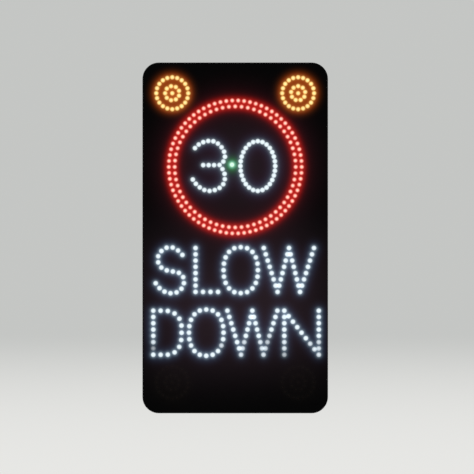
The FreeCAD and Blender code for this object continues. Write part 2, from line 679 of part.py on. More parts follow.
def make_panel_bolts():
    """The tilt lock bolts travel with the panel; the pivot bolts stay in the arms."""
    pivot_bolt = bolt(5, 16, PANEL_PIVOT + X_AXIS * (ARM_X[0] - 6.5), PANEL_PIVOT + X_AXIS * 108,
                      PANEL_PIVOT + X_AXIS * (HANGER_X[1] + 0.6))
    place = lock_bolt_place()
    lock_bolt = bolt(4, 13, place + X_AXIS * (ARM_X[0] - 5.8), place + X_AXIS * 106,
                     place + X_AXIS * HANGER_X[1])
    save("panel_lock_bolts", lock_bolt + [mirrored(piece) for piece in lock_bolt])
    return pivot_bolt + [mirrored(piece) for piece in pivot_bolt]


def make_solar_panel():
    half_width, half_length = PANEL_WIDTH / 2, PANEL_LENGTH / 2
    base, top = PANEL_STANDOFF, PANEL_STANDOFF + PANEL_THICKNESS
    wall, lip = 2.0, 14.0
    frame = box((-half_width, half_width), (-half_length, half_length), (base, top))
    inside_x, inside_y = half_width - wall, half_length - wall
    frame = frame.cut(box((-inside_x, inside_x), (-inside_y, inside_y), (base + wall, top - 1)))
    opening_x, opening_y = half_width - lip, half_length - lip
    frame = frame.cut(box((-opening_x, opening_x), (-opening_y, opening_y), (base, base + wall)))
    bezel_x, bezel_y = half_width - 7, half_length - 7
    frame = frame.cut(box((-bezel_x, bezel_x), (-bezel_y, bezel_y), (top - 1, top)))
    save("solar_frame", tilted(frame))
    laminate = box((-inside_x, inside_x), (-inside_y, inside_y), (top - 6, top - 1))
    save("solar_laminate", tilted(laminate))

    junction = box((-55, 55), (-150, -80), (top - 6 - 22, top - 6))
    junction = junction.makeFillet(4, [edge for edge in junction.Edges if abs(edge.tangentAt(0).z) > 0.9])
    save("solar_junction_box", tilted(junction))

    outline = [Vector(HANGER_X[0], y, z) for y, z in
               ((-190, base), (190, base), (190, base - 20), (70, base - 20), (20, -12), (-20, -12),
                (-70, base - 20), (-190, base - 20))]
    hanger = prism(outline, X_AXIS * (HANGER_X[1] - HANGER_X[0]))
    flange = box((HANGER_X[0], 118), (-190, 190), (base - 4, base))
    pivot_hole = rod(5.06, X_AXIS * (HANGER_X[0] - 1), X_AXIS * (HANGER_X[1] + 1))
    angle = math.radians(LOCK_BOLT_ANGLE)
    lock_at = Vector(HANGER_X[0] - 1, math.cos(angle) * LOCK_BOLT_RADIUS, math.sin(angle) * LOCK_BOLT_RADIUS)
    lock_hole = rod(4.06, lock_at, lock_at + X_AXIS * 7)
    hanger = tilted(fuse([hanger, flange]).cut([pivot_hole, lock_hole]))
    save("solar_hangers", [hanger, mirrored(hanger)])


# ---- gear inside the casing ----
BATTERY_SIZE = Vector(181, 77, 167)
BATTERY_BASE = BOTTOM_Z + 46.0


def make_gear_plate():
    half_width, low, high = 255.0, BOTTOM_Z + 34, TOP_Z - 90
    places = [(x, z) for z in (low + 20, (low + high) / 2, high - 20) for x in (-240, 240)]
    plate = box((-half_width, half_width), (GEAR_PLATE_FRONT, GEAR_PLATE_BACK), (low, high))
    plate = plate.makeFillet(12, [edge for edge in plate.Edges if abs(edge.tangentAt(0).y) > 0.9])
    save("gear_plate", plate.cut(mounting_holes(places, GEAR_PLATE_FRONT, GEAR_PLATE_BACK, 3.2)))
    standoffs = []
    for x, z in places:
        post = hexagon(12, Vector(x, INSIDE_BACK, z), Vector(x, GEAR_PLATE_BACK, z))
        stud = rod(3, Vector(x, GEAR_PLATE_BACK, z), Vector(x, GEAR_PLATE_FRONT - 6, z))
        standoffs.append(fuse([post, stud]))
    save("gear_plate_standoffs", standoffs)


def make_batteries():
    """Two sealed batteries side by side on a tray, held back by straps."""
    back = GEAR_PLATE_FRONT
    front = back - BATTERY_SIZE.y
    gap = 12.0
    batteries, straps = [], []
    for side in (-1, 1):
        x_range = (side * gap, side * (gap + BATTERY_SIZE.x))
        lid_z = BATTERY_BASE + BATTERY_SIZE.z - 18
        case = box(x_range, (front, back), (BATTERY_BASE, lid_z - 2))
        case = case.makeFillet(3, [edge for edge in case.Edges if abs(edge.tangentAt(0).z) > 0.9])
        lid_x = (min(x_range) + 2, max(x_range) - 2)
        lid = box(lid_x, (front + 2, back - 2), (lid_z - 3, lid_z + 12))
        middle = (x_range[0] + x_range[1]) / 2
        terminals = [box((middle + offset - 7, middle + offset + 7), (front + 14, front + 28),
                         (lid_z + 12, lid_z + 24)) for offset in (-68, 68)]
        batteries.append(fuse([case, lid] + terminals))
        strap_z = (BATTERY_BASE + 96, BATTERY_BASE + 121)
        outer = box((min(x_range) - 1.5, max(x_range) + 1.5), (front - 1.5, back), strap_z)
        straps.append(outer.cut(box(x_range, (front, back), strap_z)))
    save("batteries", batteries)
    save("battery_straps", straps)
    width = gap + BATTERY_SIZE.x + 6
    shelf = box((-width, width), (front - 4, back), (BATTERY_BASE - 2, BATTERY_BASE))
    lip = box((-width, width), (front - 4, front - 2), (BATTERY_BASE - 2, BATTERY_BASE + 20))
    upstand = box((-width, width), (back - 2, back), (BATTERY_BASE - 26, BATTERY_BASE))
    save("battery_tray", fuse([shelf, lip, upstand]))


def instrument(x_range, depth, z_range, radius):
    """A moulded box on the gear plate with rounded front edges."""
    case = box(x_range, (GEAR_PLATE_FRONT - depth, GEAR_PLATE_FRONT), z_range)
    return case.makeFillet(radius, [edge for edge in case.Edges if abs(edge.tangentAt(0).y) > 0.9])


CHARGER_DEPTH = 38.0
CHARGER_FRONT = GEAR_PLATE_FRONT - CHARGER_DEPTH
CONTROLLER_DEPTH = 46.0
CONTROLLER_FRONT = GEAR_PLATE_FRONT - CONTROLLER_DEPTH
BUTTON_RADIUS = 5.0
BUTTON_PROUD = 2.5


def button(name, x, z, front):
    """A push button and the hole that it slides in."""
    start = Vector(x, front - BUTTON_PROUD, z)
    cap = rod(BUTTON_RADIUS, start, start + Y_AXIS * (BUTTON_PROUD + 6))
    save(name, cap)
    return rod(BUTTON_RADIUS + 0.4, Vector(x, front, z), Vector(x, front + 10, z))


def make_charge_controller():
    case = instrument((-90, 90), CHARGER_DEPTH, (170, 270), 8)
    window = box((-50, 50), (CHARGER_FRONT, CHARGER_FRONT + 3), (215, 257))
    holes = [window, button("charger_button_menu", -25, 190, CHARGER_FRONT),
             button("charger_button_enter", 25, 190, CHARGER_FRONT)]
    save("charge_controller", case.cut(holes))
    save("charger_screen", box((-50, 50), (CHARGER_FRONT + 0.5, CHARGER_FRONT + 3), (215, 257)))


def make_sign_controller():
    wall = 3.0
    outer_z, outer_x = (400, 600), (-130, 130)
    case = instrument(outer_x, CONTROLLER_DEPTH, outer_z, 10)
    hollow = box((outer_x[0] + wall, outer_x[1] - wall), (CONTROLLER_FRONT, GEAR_PLATE_FRONT - wall),
                 (outer_z[0] + wall, outer_z[1] - wall))
    save("controller_case", case.cut(hollow))
    board_y = GEAR_PLATE_FRONT - 14
    inset = wall + 4
    circuit = box((outer_x[0] + inset, outer_x[1] - inset), (board_y - BOARD_THICKNESS, board_y),
                  (outer_z[0] + inset, outer_z[1] - inset))
    board_front = board_y - BOARD_THICKNESS
    chips = [box((x - half, x + half), (board_front - height, board_front), (z - half, z + half))
             for x, z, half, height in ((-70, 540, 14, 2), (0, 500, 20, 3),
                                        (70, 450, 9, 12), (-60, 440, 12, 9))]
    legs = [rod(3, Vector(x, board_y, z), Vector(x, GEAR_PLATE_FRONT - wall, z))
            for x in (-110, 110) for z in (420, 580)]
    save("controller_board", fuse([circuit] + chips + legs))
    lid = rounded_slab(130, 100, 10, CONTROLLER_FRONT - 3, CONTROLLER_FRONT, 500)
    save("controller_lid", lid.cut(button("controller_test_button", 90, 430, CONTROLLER_FRONT - 3)))


TOGGLE_ON = -35.0          # the lever's turn from level with the breaker on


def make_din_gear():
    """A rail with a two-pole breaker, terminal blocks and the isolator."""
    z = 60.0
    rail_front = GEAR_PLATE_FRONT - 7.5
    rail = box((-200, 200), (rail_front, rail_front + 1), (z - 17.5, z + 17.5))
    rail = rail.cut(box((-200, 200), (rail_front, rail_front + 1), (z - 12.5, z + 12.5)))
    seat = box((-200, 200), (GEAR_PLATE_FRONT - 1, GEAR_PLATE_FRONT), (z - 13.5, z + 13.5))
    webs = [box((-200, 200), (rail_front, GEAR_PLATE_FRONT), (z + side * 12.5, z + side * 13.5))
            for side in (-1, 1)]
    save("din_rail", fuse([rail, seat] + webs))

    pivot = Vector(-132, rail_front - 46, z)
    low_step = box((-150, -114), (rail_front - 44, rail_front), (z - 42, z + 42))
    high_step = box((-150, -114), (rail_front - 54, rail_front - 44), (z - 23, z + 23))
    slot = box((-141, -123), (rail_front - 60, pivot.y), (z - 12, z + 12))
    barrel = rod(9, Vector(-141, pivot.y, z), Vector(-123, pivot.y, z))
    save("breaker_body", fuse([low_step, high_step]).cut([slot, barrel]))
    drum = rod(8, Vector(-140, pivot.y, z), Vector(-124, pivot.y, z))
    lever = box((-138, -126), (pivot.y - 20, pivot.y), (z - 2.5, z + 2.5))
    toggle = fuse([drum, lever])
    toggle.rotate(pivot, X_AXIS, TOGGLE_ON)
    save("breaker_toggle", toggle)

    blocks = []
    for index in range(12):
        x = -90 + 8.2 * index
        body = box((x, x + 8), (rail_front - 36, rail_front), (z - 21, z + 21))
        screw_places = [(x + 4, z - 12), (x + 4, z + 12)]
        blocks.append(body.cut(mounting_holes(screw_places, rail_front - 36, rail_front - 30, 2.5)))
    save("terminal_blocks", blocks)

    centre = Vector(120, 0, z)
    base = box((90, 150), (rail_front - 30, rail_front), (z - 30, z + 30))
    plate = rod(27, Vector(120, rail_front - 33, z), Vector(120, rail_front - 30, z))
    shaft_hole = rod(4.06, Vector(120, rail_front - 33, z), Vector(120, rail_front - 15, z))
    save("isolator_base", fuse([base, plate]).cut(shaft_hole))
    knob_back = rail_front - 33.5
    disc = rod(20, Vector(120, knob_back - 5, z), Vector(120, knob_back, z))
    grip = box((115, 125), (knob_back - 18, knob_back - 5), (z - 19, z + 19))
    grip = grip.makeFillet(3, [edge for edge in grip.Edges if abs(edge.tangentAt(0).y) > 0.9])
    shaft = rod(4, Vector(120, knob_back, z), Vector(120, rail_front - 16, z))
    save("isolator_knob", fuse([disc, grip, shaft]))


def make_cable_entries():
    glands = []
    for place in gland_places():
        down = Vector(0, 0, -1)
        body = fuse([rod(GLAND_HOLE - 0.2, place + Z_AXIS * (WALL + 8), place),
                     hexagon(24, place, place + down * 7),
                     rod(10.5, place + down * 7, place + down * 19)])
        nut = hexagon(27, place + Z_AXIS * (WALL + 5), place + Z_AXIS * WALL)
        nut = nut.cut(rod(GLAND_HOLE - 0.2, place + Z_AXIS * (WALL + 5), place + Z_AXIS * WALL))
        bore = rod(4.5, place + Z_AXIS * (WALL + 8), place + down * 19)
        glands.append(body.fuse(nut).removeSplitter().cut(bore))
    save("cable_glands", glands)
    down = Vector(0, 0, -1)
    plug = rod(VENT_HOLE - 0.2, VENT_PLACE + Z_AXIS * (WALL + 4), VENT_PLACE)
    cap = rod(13, VENT_PLACE, VENT_PLACE + down * 5)
    slots = [box((VENT_PLACE.x - 14, VENT_PLACE.x + 14), (VENT_PLACE.y + y - 0.7, VENT_PLACE.y + y + 0.7),
                 (VENT_PLACE.z - 5, VENT_PLACE.z - 3)) for y in (-6, -3, 0, 3, 6)]
    save("breather_vent", fuse([plug, cap]).cut(slots))


def main():
    save("door_frame", make_door_frame().cut(door_bolt_holes()))
    save("fascia", make_fascia())
    make_led_boards()
    make_light_sensor()
    save_lenses()
    make_stiffeners()
    make_led_drivers()
    make_radar()
    make_casing()
    make_casing_seal()
    make_hinges()
    make_locks()
    save("mounting_bolts", make_rails() + make_clamps() + make_panel_bolts())
    make_panel_arms()
    make_solar_panel()
    make_gear_plate()
    make_batteries()
    make_charge_controller()
    make_sign_controller()
    make_din_gear()
    make_cable_entries()


if __name__ == "__main__":
    main()
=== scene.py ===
import json
import math
import random

import bmesh
import bpy
import numpy as np
from mathutils import Matrix, Vector


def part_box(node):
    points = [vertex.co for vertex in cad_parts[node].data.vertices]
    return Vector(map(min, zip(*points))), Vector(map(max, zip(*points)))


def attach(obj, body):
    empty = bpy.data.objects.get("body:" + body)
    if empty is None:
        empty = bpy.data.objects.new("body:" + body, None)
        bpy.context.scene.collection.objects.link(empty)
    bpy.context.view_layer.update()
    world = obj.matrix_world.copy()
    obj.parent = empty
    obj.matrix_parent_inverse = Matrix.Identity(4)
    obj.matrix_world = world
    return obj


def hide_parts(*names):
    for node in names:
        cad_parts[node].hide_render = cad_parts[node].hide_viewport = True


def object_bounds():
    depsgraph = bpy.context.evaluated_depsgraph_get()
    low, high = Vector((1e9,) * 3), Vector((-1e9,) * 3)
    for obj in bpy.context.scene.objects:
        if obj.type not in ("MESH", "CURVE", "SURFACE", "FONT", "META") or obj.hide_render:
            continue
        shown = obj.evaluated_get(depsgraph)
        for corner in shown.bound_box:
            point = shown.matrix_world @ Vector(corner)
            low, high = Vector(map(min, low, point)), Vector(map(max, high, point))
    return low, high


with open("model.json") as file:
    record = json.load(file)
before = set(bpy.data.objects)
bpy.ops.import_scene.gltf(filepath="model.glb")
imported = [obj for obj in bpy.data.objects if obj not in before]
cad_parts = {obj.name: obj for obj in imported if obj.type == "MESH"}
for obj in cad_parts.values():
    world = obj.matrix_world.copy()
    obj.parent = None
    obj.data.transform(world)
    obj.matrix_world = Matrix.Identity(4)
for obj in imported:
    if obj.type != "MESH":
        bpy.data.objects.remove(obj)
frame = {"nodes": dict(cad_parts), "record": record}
cad_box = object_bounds()
slot_of = {part["node"]: part["material_slot"] for part in frame["record"]["subparts"]}

# ---- driving values, in metres and linear colours ----
MM = 0.001
FASCIA_CORNER = 52 * MM
FASCIA_CELL = 2.8 * MM        # the fascia's grid, fine enough to carry the light
CORNER_STEPS = 20             # rows of that grid in each rounded corner
GRID_STEP = 1 * MM            # the grid on which the light is added up
LENS_RADIUS = 4.7 * MM
LENS_SIDES = 12
BEZEL_RADIUS = 6.1 * MM
COLLAR_RADIUS = 8.5 * MM
CORE_EDGE = 0.6 * MM          # how softly a core fades at its edge
PANEL_TILT = math.radians(45)
LAMINATE_THICKNESS = 5 * MM
CELL_ROWS, CELL_COLUMNS = 4, 9
HINGE_SPACING = 450 * MM
BATTERY_WIDTH, BATTERY_GAP = 181 * MM, 24 * MM
TERMINAL_PITCH = 8.2 * MM
WORD_DRIVER_HEIGHT = 131 * MM
WORLD_COLOUR = (0.555, 0.565, 0.552)
FLOOR_COLOUR = (0.86, 0.86, 0.84)
FLOOR_FAR = (0.80, 0.80, 0.78)
FLOOR_BELOW = 0.95
FLOOR_REACH = 60.0
VIEW_HEIGHT = 1.589           # what the camera takes in at the plane of the face
LENS_MM, SENSOR_MM = 200.0, 36.0
CAMERA_RIGHT, CAMERA_UP = 6 * MM, 3 * MM

# Radius in millimetres and colour of the round cores that make up one LED; cores wider than the lens paint
# its light onto the black collar round it.
CORES = {
    "led_red": [(3.6, (0, 0.24, 0.16)), (4.9, (0.04, 0.33, 0.28)), (7.2, (0.54, 0.15, 0.12))],
    "led_white": [(7.8, (0.61, 0.67, 0.68))],
    "words": [(7.9, (0.54, 0.55, 0.54))],
    "led_amber": [(3.6, (0, 0.14, 0)), (4.8, (0, 0.08, 0.22)), (7.4, (0.62, 0.50, 0.13))],
    "led_green": [(7.4, (0.40, 0.14, 0.12))],
    # The unlit amber LEDs are no lamps: their faint core is painted light.
    "led_amber_off": [(4.7, (0.0008, 0.0006, 0.0004))],
}
# Width in millimetres and colour of the bell curves of light that one LED spreads over the face: a painted
# halo, kept as emission on the black fascia, the collars and the lenses.
GLOWS = {
    "led_red": [(6, (0, 0.016, 0.010)), (9, (0.30, 0.003, 0.001)), (14, (0.030, 0.0006, 0.0002)),
                (24, (0.004, 0, 0)), (50, (0.0007, 0.0001, 0.0002))],
    "led_white": [(6, (0.18, 0.23, 0.25)), (14, (0.006, 0.013, 0.021)), (24, (0.002, 0.0002, 0.002)),
                  (90, (0.0005, 0.0003, 0.0004))],
    "words": [(6, (0.31, 0.43, 0.50)), (14, (0.0105, 0.021, 0.040)), (24, (0.001, 0.0002, 0.001)),
              (90, (0.0005, 0.0003, 0.0004))],
    "led_amber": [(6, (0, 0.11, 0.03)), (9, (0.215, 0.012, 0)), (14, (0.056, 0.0120, 0.001))],
    "led_green": [(6, (0.46, 0.82, 0.82)), (9, (0.02, 0.17, 0.07)), (14, (0.01, 0.135, 0)),
                  (24, (0, 0.03, 0.015))],
    # A faint painted halo round each unlit amber LED.
    "led_amber_off": [(14, (0.0003, 0.00025, 0.00012))],
}
GLOW_KINDS = {"leds_slow": "words", "leds_down": "words"}    # the other groups go by their slot
# The most light that a lens gives, where its cores and the curves of its neighbours add up to more.
FULL_LIGHT = {"led_white": (0.78, 0.90, 0.94), "led_green": (0.64, 1.0, 0.78)}
LED_SPREAD = 0.05             # how far one LED's brightness strays from the next
# Place in millimetres and share of full light of the LEDs that are failing.
FAILING_LEDS = {
    (-275, -82): 0.25,
    (-275, -61): 0.75,
    (-46, -73): 0.63,
    (115, -40): 0.7,
    (108, -61): 0.5,
    (165, -104): 0.4,
}
TIRED_CORNER = (15 * MM, -50 * MM)    # right of and below this place the LEDs are dimmer
TIRED_SHARE = 0.70
# Middle in millimetres of each plug on the backs of the LED boards.
PLUG_PLACES = ((-240, 180), (240, 180), (-240, -30), (240, -30), (-211, 740), (211, 740), (-211, -165),
               (211, -165), (0, 690), (0, 366))


# ---- shapes ----
class Shape:
    """Points and faces gathered for one piece, with a material number for each face."""

    def __init__(self):
        self.points = []
        self.faces = []
        self.kinds = []

    def add(self, points, faces, kind=0):
        start = len(self.points)
        self.points += [tuple(point) for point in points]
        self.faces += [tuple(start + corner for corner in face) for face in faces]
        self.kinds += [kind] * len(faces)

    def lathe(self, profile, centre, axis, segments=12, kind=0, closed=False):
        """Turns (radius, along) pairs about an axis. A radius of zero closes the shape to a point."""
        along = Vector(axis).normalized()
        side = along.orthogonal().normalized()
        other = along.cross(side)
        rings, points = [], []
        for radius, height in profile:
            if radius == 0:
                rings.append([len(points)])
                points.append(Vector(centre) + along * height)
                continue
            rings.append(list(range(len(points), len(points) + segments)))
            for step in range(segments):
                angle = 2 * math.pi * step / segments
                spoke = side * math.cos(angle) + other * math.sin(angle)
                points.append(Vector(centre) + along * height + spoke * radius)
        faces = []
        following = rings[1:] + rings[:1] if closed else rings[1:]
        for low, high in zip(rings, following):
            for step in range(segments):
                after = (step + 1) % segments
                if len(low) == 1 and len(high) > 1:
                    faces.append((low[0], high[after], high[step]))
                elif len(high) == 1 and len(low) > 1:
                    faces.append((low[step], low[after], high[0]))
                elif len(low) > 1:
                    faces.append((low[step], low[after], high[after], high[step]))
        self.add(points, faces, kind)

    def block(self, low, high, bevel, kind=0):
        """A box with chamfered edges and corners."""
        middle = (Vector(low) + Vector(high)) / 2
        half = (Vector(high) - Vector(low)) / 2
        cut = min(bevel, 0.98 * min(half))
        points, index = [], {}
        for sx in (-1, 1):
            for sy in (-1, 1):
                for sz in (-1, 1):
                    corner = Vector((sx * half.x, sy * half.y, sz * half.z))
                    for axis in range(3):
                        place = corner.copy()
                        for other in range(3):
                            if other != axis:
                                place[other] -= math.copysign(cut, corner[other])
                        index[(sx, sy, sz, axis)] = len(points)
                        points.append(place)
        faces = []
        signs = ((-1, -1), (1, -1), (1, 1), (-1, 1))
        for axis in range(3):
            for side in (-1, 1):
                face = []
                for a, b in signs:
                    key = [a, b]
                    key.insert(axis, side)
                    face.append(index[(*key, axis)])
                faces.append(face if side > 0 else face[::-1])
            first, second = [other for other in range(3) if other != axis]
            for a, b in signs:
                edge = []
                for end, kind_axis in ((-1, first), (-1, second), (1, second), (1, first)):
                    key = [0, 0, 0]
                    key[axis], key[first], key[second] = end, a, b
                    edge.append(index[(*key, kind_axis)])
                faces.append(edge if a * b > 0 else edge[::-1])
        for sx in (-1, 1):
            for sy in (-1, 1):
                for sz in (-1, 1):
                    corner = [index[(sx, sy, sz, axis)] for axis in range(3)]
                    faces.append(corner if sx * sy * sz > 0 else corner[::-1])
        self.add([middle + point for point in points], faces, kind)

    def move(self, matrix):
        self.points = [tuple(matrix @ Vector(point)) for point in self.points]


def outward(mesh):
    """Makes every face of a closed mesh look outwards."""
    work = bmesh.new()
    work.from_mesh(mesh)
    bmesh.ops.recalc_face_normals(work, faces=work.faces)
    work.to_mesh(mesh)
    work.free()


def piece(name, shape, materials, body, replaces=(), smooth=35, fix_normals=True):
    """Makes a piece from a shape, gives it its looks and lets it ride on a body."""
    mesh = bpy.data.meshes.new(name)
    mesh.from_pydata(shape.points, [], shape.faces)
    for surface in materials:
        mesh.materials.append(surface)
    mesh.polygons.foreach_set("material_index", shape.kinds)
    if fix_normals:
        outward(mesh)
    mesh.shade_smooth()
    mesh.set_sharp_from_angle(angle=math.radians(smooth))
    made = bpy.data.objects.new(name, mesh)
    bpy.context.scene.collection.objects.link(made)
    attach(made, body)
    if replaces:
        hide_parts(*replaces)
    return made


# ---- materials ----
class Surface:
    """A material with one Principled shader, and short ways to feed its sockets."""

    def __init__(self, name, colour, roughness, metallic=0.0, **others):
        self.material = bpy.data.materials.new(name)
        self.material.use_nodes = True
        self.tree = self.material.node_tree
        self.shader = self.tree.nodes["Principled BSDF"]
        self.set("Base Color", (*colour, 1))
        self.set("Roughness", roughness)
        self.set("Metallic", metallic)
        for label, value in others.items():
            self.set(label.replace("_", " "), value)
        self.place = self.add("TexCoord").outputs["Object"]

    def set(self, label, value):
        socket = self.shader.inputs[label]
        if isinstance(value, bpy.types.NodeSocket):
            self.tree.links.new(value, socket)
        else:
            socket.default_value = value

    def add(self, kind, inputs=None, **settings):
        node = self.tree.nodes.new("ShaderNode" + kind)
        for key, value in settings.items():
            setattr(node, key, value)
        for label, value in (inputs or {}).items():
            if isinstance(value, bpy.types.NodeSocket):
                self.tree.links.new(value, node.inputs[label])
            else:
                node.inputs[label].default_value = value
        return node

    def stretched(self, x, y, z):
        """The surface's place, scaled along each axis."""
        return self.add("Mapping", {"Vector": self.place, "Scale": (x, y, z)}).outputs["Vector"]

    def noise(self, scale, detail=4.0, vector=None):
        inputs = {"Vector": vector or self.place, "Scale": scale, "Detail": detail}
        return self.add("TexNoise", inputs).outputs[0]

    def spangle(self, scale):
        """A random shade for each grain."""
        return self.add("TexVoronoi", {"Vector": self.place, "Scale": scale}).outputs["Color"]

    def lines(self, scale, direction):
        """Soft parallel stripes."""
        inputs = {"Vector": self.place, "Scale": scale}
        return self.add("TexWave", inputs, bands_direction=direction).outputs[1]

    def spread(self, value, low, high, start=0.0, end=1.0):
        """Moves a value's range from start and end to low and high."""
        inputs = {"Value": value, "From Min": start, "From Max": end, "To Min": low, "To Max": high}
        return self.add("MapRange", inputs).outputs[0]

    def maths(self, operation, first, second):
        return self.add("Math", {0: first, 1: second}, operation=operation).outputs[0]

    def tint(self, factor, first, second):
        """A colour between two others."""
        node = self.add("Mix", {0: factor}, data_type="RGBA")
        for number, value in ((6, first), (7, second)):
            if isinstance(value, bpy.types.NodeSocket):
                self.tree.links.new(value, node.inputs[number])
            else:
                node.inputs[number].default_value = (*value, 1)
        return node.outputs[2]

    def relief(self, height, depth, strength):
        """Raises the surface by a height pattern."""
        inputs = {"Height": height, "Distance": depth, "Strength": strength}
        self.set("Normal", self.add("Bump", inputs).outputs["Normal"])


def shade(colour, factor):
    return tuple(min(1.0, part * factor) for part in colour)


def powder_coat(name, colour, roughness, specular, dirt, tooth=0.35):
    """Baked powder coat: orange peel, slight mottling, and rain marks that run down."""
    s = Surface(name, colour, roughness, Specular_IOR_Level=specular)
    mottle = s.noise(14, 6)
    runs = s.noise(55, 5, s.stretched(1, 1, 0.035))
    base = s.tint(s.spread(mottle, 0, 1, 0.3, 0.7), shade(colour, 0.86), shade(colour, 1.12))
    dust = (0.2, 0.18, 0.15)
    dusty = tuple(0.7 * part + 0.3 * grey for part, grey in zip(shade(colour, 1.5), dust))
    s.set("Base Color", s.tint(s.spread(runs, 0, dirt, 0.5, 0.78), base, dusty))
    s.set("Roughness", s.spread(runs, roughness - 0.05, roughness + 0.14, 0.3, 0.75))
    s.relief(s.noise(420, 2), 0.00025, tooth)
    return s.material


def galvanised(name, colour):
    """Hot-dip zinc: crystals of different greys with a dull bloom."""
    s = Surface(name, colour, 0.42, 0.85)
    grain = s.add("SeparateColor", {0: s.spangle(95)}).outputs[0]
    bloom = s.noise(22, 6)
    base = s.tint(grain, shade(colour, 0.72), shade(colour, 1.12))
    s.set("Base Color", s.tint(s.spread(bloom, 0, 0.5, 0.5, 0.8), base, (0.46, 0.46, 0.45)))
    s.set("Roughness", s.maths("ADD", s.spread(grain, 0.26, 0.46), s.spread(bloom, 0.0, 0.2, 0.45, 0.8)))
    s.relief(s.maths("ADD", grain, s.noise(260, 3)), 0.00012, 0.3)
    return s.material


def bare_metal(name, colour, roughness, along):
    """Rolled or drawn metal with lines along one axis and scattered scuffs."""
    s = Surface(name, colour, roughness, 1.0)
    scale = [260.0, 260.0, 260.0]
    scale["XYZ".index(along)] = 5.0
    grain = s.noise(1.0, 4, s.stretched(*scale))
    scuffs = s.noise(30, 8)
    s.set("Base Color", s.tint(s.spread(grain, 0, 1, 0.3, 0.7), shade(colour, 0.84), shade(colour, 1.1)))
    drawn = s.spread(grain, roughness - 0.07, roughness + 0.09, 0.25, 0.75)
    s.set("Roughness", s.maths("ADD", drawn, s.spread(scuffs, 0, 0.16, 0.52, 0.8)))
    s.relief(grain, 0.00006, 0.3)
    return s.material


def satin(name, colour, roughness):
    """Etched and anodised aluminium with faint handling marks."""
    s = Surface(name, colour, roughness, 1.0)
    clouds = s.noise(12, 4)
    s.set("Base Color", s.tint(s.spread(clouds, 0, 1, 0.3, 0.7), shade(colour, 0.93), shade(colour, 1.05)))
    s.set("Roughness", s.spread(s.noise(45, 6), roughness - 0.04, roughness + 0.1, 0.35, 0.75))
    s.relief(s.noise(700, 2), 0.00001, 0.15)
    return s.material


def zinc_plate(name, colour):
    """Bright zinc plating with a faint yellow and blue passivation."""
    s = Surface(name, colour, 0.3, 1.0)
    drift = s.noise(38, 3)
    s.set("Base Color", s.tint(s.spread(drift, 0, 1, 0.3, 0.7), (0.66, 0.64, 0.54), (0.62, 0.66, 0.72)))
    s.set("Roughness", s.spread(s.noise(170, 5), 0.2, 0.44, 0.3, 0.7))
    s.relief(s.noise(600, 3), 0.00003, 0.3)
    return s.material


def chrome(name, colour):
    """Polished plating with fine scratches."""
    s = Surface(name, colour, 0.08, 1.0)
    scratches = s.noise(1.0, 6, s.stretched(40, 900, 120))
    s.set("Base Color", s.tint(s.noise(25, 3), shade(colour, 0.9), colour))
    s.set("Roughness", s.spread(scratches, 0.04, 0.24, 0.45, 0.75))
    s.relief(scratches, 0.00001, 0.2)
    return s.material


def rubber(name, colour):
    """Black sponge rubber, dusty where it has been handled."""
    s = Surface(name, colour, 0.8, Specular_IOR_Level=0.3, Sheen_Weight=0.08)
    dust = s.noise(30, 7)
    s.set("Base Color", s.tint(s.spread(dust, 0, 0.4, 0.5, 0.8), colour, (0.12, 0.115, 0.10)))
    s.set("Roughness", s.spread(dust, 0.65, 0.92, 0.3, 0.7))
    s.relief(s.noise(900, 3), 0.0002, 0.5)
    return s.material


def moulded(name, colour, roughness, grain=0.5, coat=0.0):
    """Injection-moulded plastic with a spark-eroded texture."""
    s = Surface(name, colour, roughness, Coat_Weight=coat, Coat_Roughness=0.12)
    clouds = s.noise(18, 5)
    s.set("Base Color", s.tint(s.spread(clouds, 0, 1, 0.3, 0.7), shade(colour, 0.88), shade(colour, 1.1)))
    s.set("Roughness", s.spread(s.noise(60, 6), roughness - 0.08, roughness + 0.1, 0.3, 0.7))
    s.relief(s.noise(1400, 2), 0.00008, grain)
    return s.material


def webbing(name, colour):
    """Woven polyester strap: ribs across crossed by finer yarns, with painted shade in the weave's hollows
    and painted highlight on its yarns.
    """
    s = Surface(name, colour, 0.75, Sheen_Weight=0.3)
    across = s.lines(260, "Z")
    along = s.lines(420, "X")
    weave = s.maths("MULTIPLY", across, along)
    # The colour follows the weave's relief, darker in its low places and lighter on its raised yarns:
    # painted shade and highlight.
    s.set("Base Color", s.tint(weave, shade(colour, 0.55), shade(colour, 1.9)))
    s.set("Roughness", s.spread(weave, 0.9, 0.62))
    s.relief(weave, 0.0004, 0.8)
    return s.material


def circuit_board(name, colour):
    """Solder mask over rows of copper tracks, lighter in patches."""
    s = Surface(name, colour, 0.3, Specular_IOR_Level=0.5)
    upright = s.add("Mapping", {"Vector": s.place, "Rotation": (math.radians(90), 0, 0)})
    tracks = s.add("TexBrick", {
        "Vector": upright.outputs["Vector"],
        "Scale": 60.0,
        "Mortar Size": 0.035,
        "Color1": (0, 0, 0, 1),
        "Color2": (0.25, 0.25, 0.25, 1),
        "Mortar": (1, 1, 1, 1),
    })
    level = s.add("SeparateColor", {0: tracks.outputs["Color"]}).outputs[0]
    base = s.tint(level, shade(colour, 0.75), shade(colour, 2.0))
    s.set("Base Color", s.tint(s.spread(s.noise(35, 4), 0, 0.35, 0.5, 0.8), base, shade(colour, 1.5)))
    s.set("Roughness", s.spread(s.noise(80, 4), 0.22, 0.42, 0.3, 0.7))
    s.relief(level, 0.00006, 0.6)
    return s.material


def liquid_crystal(name, colour):
    """A grey-green display behind a clear window."""
    s = Surface(name, colour, 0.35, Coat_Weight=1.0, Coat_Roughness=0.03)
    dots = s.maths("MULTIPLY", s.lines(330, "Z"), s.lines(330, "X"))
    s.set("Base Color", s.tint(dots, shade(colour, 0.8), shade(colour, 1.15)))
    s.relief(dots, 0.00002, 0.2)
    return s.material


